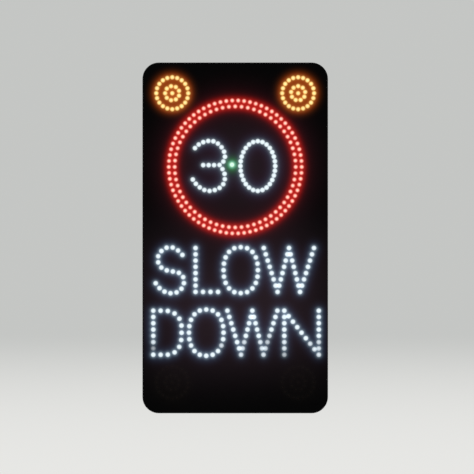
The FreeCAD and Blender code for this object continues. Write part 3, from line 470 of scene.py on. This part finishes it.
def lit(name, colour, roughness, specular):
    """A surface with painted light: the LEDs' light on it is kept in its glow colours as emission, with a
    fine tooth.
    """
    s = Surface(name, colour, roughness, Specular_IOR_Level=specular, Emission_Strength=1.0)
    s.set("Emission Color", s.add("Attribute", attribute_name="glow").outputs["Color"])
    s.set("Base Color", s.tint(s.noise(40, 6), shade(colour, 0.6), shade(colour, 1.4)))
    s.set("Roughness", s.spread(s.noise(120, 5), roughness - 0.08, roughness + 0.08, 0.3, 0.7))
    return s


def fascia_paint():
    """Matt black paint that swallows daylight, with the LEDs' halo painted on it as emission."""
    s = lit("fascia_paint", (0.0007, 0.0008, 0.0008), 0.72, 0.015)
    s.relief(s.maths("ADD", s.noise(700, 2), s.noise(9, 3)), 0.00012, 0.3)
    return s.material


def lens_plastic(name, colour, specular):
    """Clear epoxy over the die, with faint flow lines."""
    s = lit(name, colour, 0.18, specular)
    s.relief(s.noise(500, 2), 0.00003, 0.2)
    return s.material


def silicon():
    """Monocrystalline cell: dark blue with fine silver fingers, under glass."""
    s = Surface("solar_cell", (0.008, 0.014, 0.045), 0.3, Coat_Weight=1.0, Coat_Roughness=0.04)
    crystals = s.add("SeparateColor", {0: s.spangle(40)}).outputs[0]
    wafer = s.tint(crystals, (0.006, 0.011, 0.036), (0.013, 0.024, 0.075))
    fingers = s.spread(s.lines(160, "X"), 0, 0.6, 0.965, 1.0)
    s.set("Base Color", s.tint(fingers, wafer, (0.35, 0.37, 0.40)))
    s.set("Roughness", s.spread(crystals, 0.2, 0.38))
    return s.material


def under_glass(name, colour, roughness, metallic):
    """The backing sheet or the ribbons, seen through the panel's glass."""
    s = Surface(name, colour, roughness, metallic, Coat_Weight=1.0, Coat_Roughness=0.04)
    s.set("Base Color", s.tint(s.noise(60, 4), shade(colour, 0.88), shade(colour, 1.08)))
    s.set("Roughness", s.spread(s.noise(150, 4), roughness - 0.06, roughness + 0.08, 0.3, 0.7))
    return s.material


SURFACES = {
    "frame_black": powder_coat("frame_black", (0.0035, 0.0037, 0.004), 0.55, 0.06, 0.05, 0.1),
    "casing_grey": powder_coat("casing_grey", (0.27, 0.285, 0.29), 0.45, 0.45, 0.5),
    "bare_aluminium": bare_metal("bare_aluminium", (0.66, 0.67, 0.69), 0.36, "X"),
    "anodised_frame": satin("anodised_frame", (0.50, 0.51, 0.53), 0.34),
    "galvanised_steel": galvanised("galvanised_steel", (0.43, 0.445, 0.46)),
    "zinc_steel": zinc_plate("zinc_steel", (0.66, 0.67, 0.68)),
    "lock_chrome": chrome("lock_chrome", (0.78, 0.78, 0.80)),
    "black_rubber": rubber("black_rubber", (0.022, 0.022, 0.023)),
    "battery_plastic": moulded("battery_plastic", (0.035, 0.038, 0.045), 0.5, 0.6),
    "strap_webbing": webbing("strap_webbing", (0.05, 0.05, 0.055)),
    "instrument_plastic": moulded("instrument_plastic", (0.06, 0.10, 0.17), 0.45),
    "light_grey_plastic": moulded("light_grey_plastic", (0.56, 0.57, 0.56), 0.42),
    "clear_lid": moulded("clear_lid", (0.50, 0.52, 0.53), 0.2, 0.1, 0.6),
    "black_plastic": moulded("black_plastic", (0.018, 0.018, 0.02), 0.42),
    "red_plastic": moulded("red_plastic", (0.55, 0.022, 0.016), 0.3, 0.2, 0.3),
    "screen": liquid_crystal("screen", (0.24, 0.31, 0.23)),
    "circuit_board": circuit_board("circuit_board", (0.012, 0.075, 0.035)),
    "sensor_lens": moulded("sensor_lens", (0.012, 0.011, 0.014), 0.16, 0.1, 0.8),
}
SOLDER = bare_metal("solder", (0.62, 0.62, 0.60), 0.28, "Y")
COMPONENT_BLACK = moulded("component_black", (0.02, 0.02, 0.021), 0.4, 0.4)
CONNECTOR_CREAM = moulded("connector_cream", (0.66, 0.62, 0.50), 0.42, 0.3)
BRASS = bare_metal("brass", (0.70, 0.50, 0.22), 0.3, "Z")


def dress_cad_nodes():
    """Gives every CAD node that stays in view the look of its slot."""
    for name, node in frame["nodes"].items():
        surface = SURFACES.get(slot_of[name])
        if surface is None:
            continue
        for place in node.material_slots:
            place.material = surface
        if not node.material_slots:
            node.data.materials.append(surface)


# ---- the lit face ----
def lens_groups():
    """The CAD nodes that hold LEDs."""
    return [name for name, slot in slot_of.items() if slot.startswith("led_") and name.startswith("led")]


def led_places(node):
    """x, z of each LED, where its lens stands furthest out."""
    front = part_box(node)[0].y
    tips = {(round(v.co.x, 4), round(v.co.z, 4)) for v in frame["nodes"][node].data.vertices
            if v.co.y < front + 0.001 * MM}
    return sorted(tips)


def brightness(places, seed):
    """A gain for each LED: a seeded scatter, and less for those that are tired or failing."""
    chance = random.Random(seed)
    gains = []
    for x, z in places:
        gain = 1 + LED_SPREAD * chance.uniform(-1, 1)
        if x > TIRED_CORNER[0] and z < TIRED_CORNER[1]:
            gain = TIRED_SHARE + LED_SPREAD * chance.uniform(-2, 2)
        for (weak_x, weak_z), weak in FAILING_LEDS.items():
            if math.hypot(x - weak_x * MM, z - weak_z * MM) < LENS_RADIUS:
                gain = weak
        gains.append(gain)
    return gains


LIT_GROUPS = {name: led_places(name) for name in sorted(lens_groups())}
GAINS = {name: brightness(places, name) for name, places in LIT_GROUPS.items()}
FASCIA_LOW, FASCIA_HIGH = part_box("fascia")
FACE_Y = FASCIA_LOW.y


def glow_kind(name):
    """The row of CORES and GLOWS that a group of LEDs goes by."""
    return GLOW_KINDS.get(name, slot_of[name])


def glow_field():
    """The painted light on the face, on a regular grid: every LED adds its own bell curves."""
    xs = np.arange(FASCIA_LOW.x, FASCIA_HIGH.x + GRID_STEP, GRID_STEP)
    zs = np.arange(FASCIA_LOW.z, FASCIA_HIGH.z + GRID_STEP, GRID_STEP)
    field = np.zeros((len(xs), len(zs), 3))
    for name, places in LIT_GROUPS.items():
        centres = np.array(places)
        gains = np.array(GAINS[name])
        for width_mm, colour in GLOWS[glow_kind(name)]:
            spread = 2 * (width_mm * MM) ** 2
            across = np.exp(-(xs[:, None] - centres[None, :, 0]) ** 2 / spread) * gains
            up = np.exp(-(zs[:, None] - centres[None, :, 1]) ** 2 / spread)
            field += (across @ up.T)[:, :, None] * np.array(colour)
    return field


FIELD = glow_field()


def glow_at(points):
    """The face's light at any points, blended from the four nearest grid places."""
    flat = np.array(points)[:, [0, 2]]
    steps = (flat - np.array([FASCIA_LOW.x, FASCIA_LOW.z])) / GRID_STEP
    steps = np.clip(steps, 0, np.array(FIELD.shape[:2]) - 1.001)
    low = steps.astype(int)
    part = steps - low
    i, j = low[:, 0], low[:, 1]
    u, v = part[:, :1], part[:, 1:]
    near = FIELD[i, j] * (1 - u) * (1 - v) + FIELD[i + 1, j] * u * (1 - v)
    return near + FIELD[i, j + 1] * (1 - u) * v + FIELD[i + 1, j + 1] * u * v


def core_at(points, places, gains, cores):
    """The light of the LEDs' own round cores, at the points of their lenses and collars; on the collars it
    is painted light.
    """
    flat = np.array(points)[:, [0, 2]]
    light = np.zeros((len(flat), 3))
    window = COLLAR_RADIUS + 1 * MM
    for place, gain in zip(places, gains):
        offset = flat - np.array(place)
        near = np.nonzero((np.abs(offset) < window).all(axis=1))[0]
        reach = np.hypot(offset[near, 0], offset[near, 1])
        for radius_mm, colour in cores:
            fade = 1 / (1 + np.exp((reach - radius_mm * MM) / CORE_EDGE))
            light[near] += gain * fade[:, None] * np.array(colour)
    return light


def set_glow(made, colours):
    """Keeps a piece's light as a colour at each of its points."""
    attribute = made.data.color_attributes.new(name="glow", type="FLOAT_COLOR", domain="POINT")
    rgba = np.ones((len(colours), 4), np.float32)
    rgba[:, :3] = colours
    attribute.data.foreach_set("color", rgba.ravel())


def make_fascia():
    """The fascia as a fine grid that carries the LEDs' painted light, with its edge and back."""
    half = (FASCIA_HIGH.x - FASCIA_LOW.x) / 2
    top, bottom = FASCIA_HIGH.z, FASCIA_LOW.z
    turns = [math.radians(90 * step / CORNER_STEPS) for step in range(CORNER_STEPS, 0, -1)]
    corner = [(FASCIA_CORNER * (1 - math.sin(a)), half - FASCIA_CORNER * (1 - math.cos(a))) for a in turns]
    count = round((top - bottom - 2 * FASCIA_CORNER) / FASCIA_CELL)
    straight = np.linspace(top - FASCIA_CORNER, bottom + FASCIA_CORNER, count + 1)
    rows = [(top - down, width) for down, width in corner]
    rows += [(z, half) for z in straight]
    rows += [(bottom + down, width) for down, width in reversed(corner)]
    columns = round(2 * half / FASCIA_CELL)
    across = np.linspace(-1, 1, columns + 1)
    shape = Shape()
    shape.points = [(width * u, FACE_Y, z) for z, width in rows for u in across]
    wide = columns + 1
    shape.faces = [(r * wide + c, (r + 1) * wide + c, (r + 1) * wide + c + 1, r * wide + c + 1)
                   for r in range(len(rows) - 1) for c in range(columns)]
    rim = list(range(wide))
    rim += [r * wide + columns for r in range(1, len(rows))]
    rim += [(len(rows) - 1) * wide + c for c in range(columns - 1, -1, -1)]
    rim += [r * wide for r in range(len(rows) - 2, 0, -1)]
    start = len(shape.points)
    shape.points += [(shape.points[i][0], FASCIA_HIGH.y, shape.points[i][2]) for i in rim]
    for step in range(len(rim)):
        after = (step + 1) % len(rim)
        shape.faces.append((rim[step], rim[after], start + after, start + step))
    shape.faces.append(tuple(start + step for step in range(len(rim) - 1, -1, -1)))
    shape.kinds = [0] * len(shape.faces)
    colours = glow_at(shape.points)
    colours[start:] = 0
    made = piece("fascia_face", shape, [fascia_paint()], "door", ["fascia"], fix_normals=False)
    set_glow(made, colours)


def lens_profile(front, back):
    """A dome, its straight stem and the flange that seats on the board."""
    height = FACE_Y - front
    length = back - front
    flange, flange_radius = 1 * MM, LENS_RADIUS + 0.4 * MM
    cap = (LENS_RADIUS ** 2 + height ** 2) / (2 * height)
    dome_steps = 5
    turns = [math.asin(LENS_RADIUS / cap) * step / dome_steps for step in range(1, dome_steps + 1)]
    dome = [(cap * math.sin(turn), cap * (1 - math.cos(turn))) for turn in turns]
    stem = [(LENS_RADIUS, length - flange), (flange_radius, length - flange)]
    return [(0, 0)] + dome + stem + [(flange_radius, length), (0, length)]


def make_lenses():
    """The LEDs' lenses, one piece for each group."""
    looks = {
        "led_red": ((0.16, 0.01, 0.01), 0.2),
        "led_white": ((0.1, 0.1, 0.11), 0.2),
        "led_amber": ((0.2, 0.08, 0.01), 0.2),
        "led_green": ((0.06, 0.16, 0.11), 0.2),
        "led_amber_off": ((0.0014, 0.0011, 0.001), 0.015),
    }
    plastics = {slot: lens_plastic(slot + "_lens", *look) for slot, look in looks.items()}
    for name, places in LIT_GROUPS.items():
        low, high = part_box(name)
        profile = lens_profile(low.y, high.y)
        shape = Shape()
        for x, z in places:
            shape.lathe(profile, (x, low.y, z), (0, 1, 0), LENS_SIDES)
        made = piece(name + "_lenses", shape, [plastics[slot_of[name]]], "door", [name])
        light = glow_at(shape.points) + core_at(shape.points, places, GAINS[name], CORES[glow_kind(name)])
        set_glow(made, np.minimum(light, FULL_LIGHT.get(slot_of[name], (1, 1, 1))))


def make_bezels():
    """A thin black collar round each lens, one piece for each group, and one round the light sensor; the
    collars carry painted LED light as emission.
    """
    rise = 0.7 * MM
    inside = LENS_RADIUS + 0.1 * MM
    profile = [(inside, 0), (inside, -rise), (5.5 * MM, -rise), (BEZEL_RADIUS, -0.3 * MM),
               (7.0 * MM, -0.16 * MM), (7.8 * MM, -0.12 * MM), (COLLAR_RADIUS, -0.05 * MM),
               (COLLAR_RADIUS, 0)]
    black = lit("bezel_black", (0.0009, 0.001, 0.001), 0.6, 0.02)
    black.relief(black.noise(900, 2), 0.00003, 0.3)
    sensor_low, sensor_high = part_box("light_sensor")
    sensor = ((sensor_low.x + sensor_high.x) / 2, (sensor_low.z + sensor_high.z) / 2)
    for name, places in [*LIT_GROUPS.items(), ("light_sensor", [sensor])]:
        shape = Shape()
        for x, z in places:
            shape.lathe(profile, (x, FACE_Y, z), (0, 1, 0), LENS_SIDES, closed=True)
        colours = glow_at(shape.points)
        if name in GAINS:
            colours += core_at(shape.points, places, GAINS[name], CORES[glow_kind(name)])
        made = piece(name + "_collars", shape, [black.material], "door")
        set_glow(made, colours)


# ---- behind the face ----
def make_solder_and_parts():
    """What is on the backs of the LED boards: two solder joints for each LED, resistors and plugs."""
    shape = Shape()
    back = max(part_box(name)[1].y for name in ("led_boards_round", "led_boards_words"))
    joint = [(1.1 * MM, 0), (0.7 * MM, 0.5 * MM), (0.3 * MM, 1.3 * MM), (0, 1.5 * MM)]
    lead_spacing = 2.54 * MM
    for places in LIT_GROUPS.values():
        for x, z in places:
            for side in (-1, 1):
                shape.lathe(joint, (x + side * lead_spacing / 2, back, z), (0, 1, 0), 6, 0)
            resistor = Vector((x, back, z + 3.05 * MM))
            shape.block(resistor - Vector((0.8, 0, 0.45)) * MM, resistor + Vector((0.8, 0.6, 0.45)) * MM,
                        0.1 * MM, 1)
    for x, z in PLUG_PLACES:
        plug = Vector((x * MM, back, z * MM))
        shape.block(plug - Vector((9, 0, 3)) * MM, plug + Vector((9, 7, 3)) * MM, 0.6 * MM, 2)
    looks = [SOLDER, COMPONENT_BLACK, CONNECTOR_CREAM]
    piece("board_parts", shape, looks, "door", smooth=30)


def screw(shape, centre, axis, radius, kind=0):
    """A pan head with a recess in its top."""
    outline = ((1, 0), (1, 0.35), (0.86, 0.6), (0.5, 0.72), (0.45, 0.3), (0, 0.3))
    shape.lathe([(out * radius, along * radius) for out, along in outline], centre, axis, 12, kind)


def make_rivets():
    """Blind rivets that hold the casing's back sheet to its flanged sides."""
    low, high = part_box("casing_back")
    inset = 9 * MM
    back = high.y
    spots = []
    for x in np.linspace(low.x + 70 * MM, high.x - 70 * MM, 6):
        spots += [(x, low.z + inset), (x, high.z - inset)]
    for z in np.linspace(low.z + 75 * MM, high.z - 75 * MM, 11):
        spots += [(low.x + inset, z), (high.x - inset, z)]
    shape = Shape()
    head = [(3.4 * MM, 0), (3.2 * MM, 0.5 * MM), (2.4 * MM, 1.1 * MM), (1.2 * MM, 1.4 * MM),
            (1.1 * MM, 1.0 * MM), (0, 1.0 * MM)]
    for x, z in spots:
        shape.lathe(head, (x, back, z), (0, 1, 0), 14)
    piece("casing_rivets", shape, [SURFACES["bare_aluminium"]], "casing")


def make_welds():
    """Short weld beads along the top and bottom of each hinge leaf."""
    chance = random.Random(4)
    low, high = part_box("casing_hinge_leaves")
    wall_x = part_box("casing_sides")[0].x
    centres = [(low.z + high.z) / 2 + offset for offset in (-HINGE_SPACING, 0, HINGE_SPACING)]
    half_leaf, ripple, sunk = 45 * MM, 2.2 * MM, 0.4 * MM
    shape = Shape()
    for middle in centres:
        for end in (-half_leaf, half_leaf):
            for y in np.arange(low.y + 14 * MM, high.y - 2 * MM, ripple):
                radius = (2.0 + 0.3 * chance.uniform(-1, 1)) * MM
                dome = [(radius, -sunk), (radius * 0.8, 0.7 * MM), (radius * 0.4, 1.2 * MM), (0, 1.35 * MM)]
                shape.lathe(dome, (wall_x - sunk, y, middle + end), (-1, 0, 0), 10)
    piece("hinge_welds", shape, [SURFACES["galvanised_steel"]], "casing", smooth=60)


def make_rail_caps():
    """Black end caps pushed into the ends of the rear channels."""
    low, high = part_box("rear_rails")
    half, thickness = 20 * MM, 2.5 * MM
    shape = Shape()
    for z in (0.0, high.z - half):
        for left in (low.x - thickness, high.x):
            shape.block((left, low.y + 0.3 * MM, z - half), (left + thickness, high.y, z + half), 0.8 * MM)
    piece("rail_end_caps", shape, [SURFACES["black_plastic"]], "casing")


def solar_cell(shape, centre, half_wide, half_tall):
    """One wafer with cut corners, lying on the backing."""
    x, y, face = centre
    wide, tall, cut, thickness = half_wide, half_tall, 5 * MM, 0.1 * MM
    outline = [(-wide + cut, -tall), (wide - cut, -tall), (wide, -tall + cut), (wide, tall - cut),
               (wide - cut, tall), (-wide + cut, tall), (-wide, tall - cut), (-wide, -tall + cut)]
    points = [(x + dx, y + dy, face + level) for level in (0, thickness) for dx, dy in outline]
    sides = [(i, (i + 1) % 8, 8 + (i + 1) % 8, 8 + i) for i in range(8)]
    shape.add(points, [tuple(range(8, 16))] + sides, 1)


def make_solar_face():
    """Glass-fronted laminate: white backing, rows of cells, and their ribbons."""
    low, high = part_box("solar_laminate")
    centre = (low + high) / 2
    half_x = (high.x - low.x) / 2
    half_y = (high.y - low.y) / 2 * math.sqrt(2) - LAMINATE_THICKNESS / 2
    half_t = LAMINATE_THICKNESS / 2
    margin, gap, half_ribbon = 11 * MM, 2 * MM, 0.9 * MM
    face = half_t - 0.2 * MM
    left, right = -half_x + margin, half_x - margin
    pitch_x = 2 * (half_x - margin) / CELL_COLUMNS
    pitch_y = 2 * (half_y - margin) / CELL_ROWS
    shape = Shape()
    shape.block((-half_x, -half_y, -half_t), (half_x, half_y, face), 0.3 * MM, 0)
    for row in range(CELL_ROWS):
        middle = -half_y + margin + pitch_y * (row + 0.5)
        for column in range(CELL_COLUMNS):
            x = left + pitch_x * (column + 0.5)
            solar_cell(shape, (x, middle, face), (pitch_x - gap) / 2, (pitch_y - gap) / 2)
        for offset in (-0.24 * pitch_y, 0.24 * pitch_y):
            y = middle + offset
            shape.block((left, y - half_ribbon, face), (right, y + half_ribbon, half_t), 0.05 * MM, 2)
    shape.move(Matrix.Translation(centre) @ Matrix.Rotation(-PANEL_TILT, 4, "X"))
    looks = [under_glass("panel_backing", (0.72, 0.73, 0.74), 0.5, 0.0), silicon(),
             under_glass("panel_ribbon", (0.66, 0.67, 0.69), 0.3, 1.0)]
    piece("solar_face", shape, looks, "solar_panel", ["solar_laminate"], fix_normals=False)


def make_lid_screws():
    """Screws in the corners of the sign controller's lid and the charge controller's case."""
    shape = Shape()
    for node, inset in (("controller_lid", 10 * MM), ("charge_controller", 9 * MM)):
        low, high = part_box(node)
        for x in (low.x + inset, high.x - inset):
            for z in (low.z + inset, high.z - inset):
                screw(shape, (x, low.y, z), (0, -1, 0), 3.2 * MM)
    piece("lid_screws", shape, [SURFACES["zinc_steel"]], "casing")


def make_charger_details():
    """A raised surround for the display, bars on it, and the charger's cooling ribs."""
    low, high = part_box("charger_screen")
    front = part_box("charge_controller")[0].y
    shape = Shape()
    edge, rise = 3 * MM, 1.2 * MM
    surround = (((low.x - edge, high.x + edge), (high.z, high.z + edge)),
                ((low.x - edge, high.x + edge), (low.z - edge, low.z)),
                ((low.x - edge, low.x), (low.z, high.z)),
                ((high.x, high.x + edge), (low.z, high.z)))
    for (left, right), (bottom, top) in surround:
        shape.block((left, front - rise, bottom), (right, front, top), 0.4 * MM, 0)
    bars, bar_width = 6, 4.5 * MM
    for step in range(bars):
        x = low.x + (14 + 7 * step) * MM
        top = low.z + (12 + 3 * step) * MM
        shape.block((x, low.y - 0.15 * MM, low.z + 9 * MM),
                    (x + bar_width, low.y + 0.05 * MM, top), 0.05 * MM, 1)
    case_low, case_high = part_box("charge_controller")
    ribs, rib_width, rib_height = 13, 3 * MM, 6 * MM
    for step in range(ribs):
        x = case_low.x + (24 + 11 * step) * MM
        shape.block((x, case_low.y + 6 * MM, case_high.z),
                    (x + rib_width, case_high.y - 5 * MM, case_high.z + rib_height), 0.6 * MM, 0)
    looks = [SURFACES["instrument_plastic"], COMPONENT_BLACK]
    piece("charger_details", shape, looks, "casing")


def make_battery_details():
    """Bolts on the battery posts, vent strips in the lids and a buckle on each strap."""
    low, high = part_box("batteries")
    strap_low, strap_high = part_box("battery_straps")
    bolt = [(7 * MM, 0), (7 * MM, 1.5 * MM), (5.2 * MM, 1.5 * MM), (5.2 * MM, 5 * MM), (4.6 * MM, 5.6 * MM),
            (0, 5.6 * MM)]
    shape = Shape()
    for side in (-1, 1):
        middle = side * (BATTERY_GAP + BATTERY_WIDTH) / 2
        for offset, sides in ((-68 * MM, 6), (68 * MM, 12)):
            shape.lathe(bolt, (middle + offset, low.y + 21 * MM, high.z), (0, 0, 1), sides, 0)
        shape.block((middle - 40 * MM, low.y + 30 * MM, high.z - 12.5 * MM),
                    (middle + 40 * MM, high.y - 12 * MM, high.z - 10 * MM), 0.8 * MM, 1)
        buckle = Vector((middle, strap_low.y, (strap_low.z + strap_high.z) / 2))
        shape.block(buckle - Vector((22, 5, 15)) * MM, buckle + Vector((22, 0, 15)) * MM, 1.5 * MM, 2)
        shape.block(buckle - Vector((17, 7.5, 9)) * MM, buckle + Vector((6, -4, 9)) * MM, 1 * MM, 2)
    looks = [BRASS, SURFACES["battery_plastic"], SURFACES["black_plastic"]]
    piece("battery_details", shape, looks, "casing")


def make_din_details():
    """Screws down the terminal blocks, marker strips, and the breaker's screws and window."""
    low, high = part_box("terminal_blocks")
    middle = (low.z + high.z) / 2
    clamp_screw = [(2.3 * MM, 0), (2.3 * MM, 1.0 * MM), (1.9 * MM, 1.3 * MM), (0, 1.3 * MM)]
    blocks = 12
    shape = Shape()
    for index in range(blocks):
        x = low.x + 4 * MM + TERMINAL_PITCH * index
        for z in (middle - 12 * MM, middle + 12 * MM):
            shape.lathe(clamp_screw, (x, low.y + 5.6 * MM, z), (0, -1, 0), 10, 0)
        marker = Vector((x, low.y, middle))
        shape.block(marker - Vector((3, 0.6, 3)) * MM, marker + Vector((3, 0, 3)) * MM, 0.3 * MM, 1)
    body_low, body_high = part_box("breaker_body")
    body_middle = (body_low.z + body_high.z) / 2
    for x in (body_low.x + 9 * MM, body_high.x - 9 * MM):
        for z in (body_middle - 33 * MM, body_middle + 33 * MM):
            screw(shape, (x, body_low.y + 10 * MM, z), (0, -1, 0), 3.5 * MM, 0)
    window = Vector(((body_low.x + body_high.x) / 2, body_low.y, body_middle + 17 * MM))
    shape.block(window - Vector((4, 0.3, 2)) * MM, window + Vector((4, 0, 2)) * MM, 0.2 * MM, 2)
    looks = [SURFACES["zinc_steel"], CONNECTOR_CREAM, SURFACES["red_plastic"]]
    piece("rail_gear_details", shape, looks, "casing")


def make_driver_details():
    """Ear screws and cooling ribs on the LED driver boxes."""
    shape = Shape()
    low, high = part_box("led_drivers")
    ear, half_width, half_height = 12 * MM, 55 * MM, 22 * MM
    half_rib, rib_pitch = half_width - 8 * MM, 5.4 * MM
    upper = high.z - half_height
    for x, z in ((-120 * MM, upper), (120 * MM, upper), (0, WORD_DRIVER_HEIGHT), (0, low.z + half_height)):
        for side in (-1, 1):
            screw(shape, (x + side * (half_width + ear / 2), low.y + 2 * MM, z), (0, 1, 0), 3.4 * MM)
        for step in range(-3, 4):
            rib = z + step * rib_pitch
            shape.block((x - half_rib, high.y - 0.2 * MM, rib - 1 * MM),
                        (x + half_rib, high.y + 0.9 * MM, rib + 1 * MM), 0.3 * MM)
    piece("driver_details", shape, [SURFACES["bare_aluminium"]], "door")


def make_junction_box_lid():
    """The lid of the panel's junction box, with its screws."""
    low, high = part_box("solar_junction_box")
    centre = (low + high) / 2
    tilt = Matrix.Translation(centre) @ Matrix.Rotation(-PANEL_TILT, 4, "X")
    back, front = -13 * MM, -10.5 * MM
    shape = Shape()
    shape.block((-50 * MM, -30 * MM, back), (50 * MM, 30 * MM, front), 1 * MM, 0)
    for x in (-43 * MM, 43 * MM):
        for y in (-23 * MM, 23 * MM):
            screw(shape, (x, y, back), (0, 0, -1), 2.6 * MM, 1)
    shape.move(tilt)
    looks = [SURFACES["black_plastic"], SURFACES["zinc_steel"]]
    piece("junction_box_lid", shape, looks, "solar_panel")


# ---- studio ----
def area_light(name, place, target, size, power):
    """A soft lamp that the camera doesn't see."""
    lamp = bpy.data.lights.new(name, "AREA")
    lamp.shape = "RECTANGLE"
    lamp.size, lamp.size_y = size
    lamp.energy = power
    made = bpy.data.objects.new(name, lamp)
    bpy.context.scene.collection.objects.link(made)
    made.location = place
    aim = Vector(target) - Vector(place)
    made.rotation_euler = aim.to_track_quat("-Z", "Y").to_euler()
    made.visible_camera = False


def make_floor(below):
    """A pale floor that fades into the colour of the room far behind the sign."""
    mesh = bpy.data.meshes.new("floor")
    cells = 12
    line = np.linspace(-FLOOR_REACH, FLOOR_REACH, cells + 1)
    points = [(x, y, below) for y in line for x in line]
    wide = cells + 1
    faces = [(r * wide + c, r * wide + c + 1, (r + 1) * wide + c + 1, (r + 1) * wide + c)
             for r in range(cells) for c in range(cells)]
    mesh.from_pydata(points, [], faces)
    floor = bpy.data.objects.new("floor", mesh)
    bpy.context.scene.collection.objects.link(floor)
    material = bpy.data.materials.new("floor_paint")
    material.use_nodes = True
    tree = material.node_tree
    shader = tree.nodes["Principled BSDF"]
    shader.inputs["Base Color"].default_value = (*FLOOR_COLOUR, 1)
    shader.inputs["Roughness"].default_value = 0.9
    place = tree.nodes.new("ShaderNodeNewGeometry")
    distance = tree.nodes.new("ShaderNodeVectorMath")
    distance.operation = "LENGTH"
    tree.links.new(place.outputs["Position"], distance.inputs[0])

    def fade(start, end):
        node = tree.nodes.new("ShaderNodeMapRange")
        node.interpolation_type = "SMOOTHSTEP"
        node.inputs["From Min"].default_value = start
        node.inputs["From Max"].default_value = end
        tree.links.new(distance.outputs["Value"], node.inputs["Value"])
        return node.outputs["Result"]

    blend = tree.nodes.new("ShaderNodeMix")
    blend.data_type = "RGBA"
    blend.inputs[6].default_value = (*FLOOR_FAR, 1)
    blend.inputs[7].default_value = (*WORLD_COLOUR, 1)
    tree.links.new(fade(7.0, 34.0), blend.inputs[0])
    far = tree.nodes.new("ShaderNodeEmission")
    tree.links.new(blend.outputs[2], far.inputs["Color"])
    mix = tree.nodes.new("ShaderNodeMixShader")
    tree.links.new(fade(2.5, 7.0), mix.inputs["Fac"])
    tree.links.new(shader.outputs["BSDF"], mix.inputs[1])
    tree.links.new(far.outputs["Emission"], mix.inputs[2])
    tree.links.new(mix.outputs["Shader"], tree.nodes["Material Output"].inputs["Surface"])
    mesh.materials.append(material)


def make_studio():
    """The room's plain light and four soft lamps."""
    world = bpy.data.worlds.new("room")
    world.use_nodes = True
    world.node_tree.nodes["Background"].inputs["Color"].default_value = (*WORLD_COLOUR, 1)
    bpy.context.scene.world = world
    bpy.context.scene.view_settings.view_transform = "Standard"
    middle = (0, 0, (cad_box[0].z + cad_box[1].z) / 2)
    area_light("key", (-3.4, -3.2, 3.6), middle, (2.6, 2.6), 150)
    area_light("side", (4.2, -1.2, 1.4), middle, (2.0, 3.0), 70)
    area_light("rear", (2.4, 4.2, 2.8), middle, (2.6, 2.2), 150)
    area_light("rear_fill", (-3.6, 3.0, 0.8), middle, (2.2, 2.6), 70)


def make_camera():
    """A long lens square to the face, a hair right of and above its centre."""
    lens = bpy.data.cameras.new("camera")
    lens.lens, lens.sensor_width = LENS_MM, SENSOR_MM
    camera = bpy.data.objects.new("camera", lens)
    bpy.context.scene.collection.objects.link(camera)
    away = VIEW_HEIGHT * LENS_MM / SENSOR_MM
    middle_z = (FASCIA_LOW.z + FASCIA_HIGH.z) / 2
    camera.location = (CAMERA_RIGHT, FACE_Y - away, middle_z + CAMERA_UP)
    camera.rotation_euler = (math.radians(90), 0, 0)
    bpy.context.scene.camera = camera


make_camera()
make_studio()
make_floor(cad_box[0].z - FLOOR_BELOW)
dress_cad_nodes()
make_fascia()
make_lenses()
make_bezels()
make_solder_and_parts()
make_rivets()
make_welds()
make_rail_caps()
make_solar_face()
make_lid_screws()
make_charger_details()
make_battery_details()
make_din_details()
make_driver_details()
make_junction_box_lid()
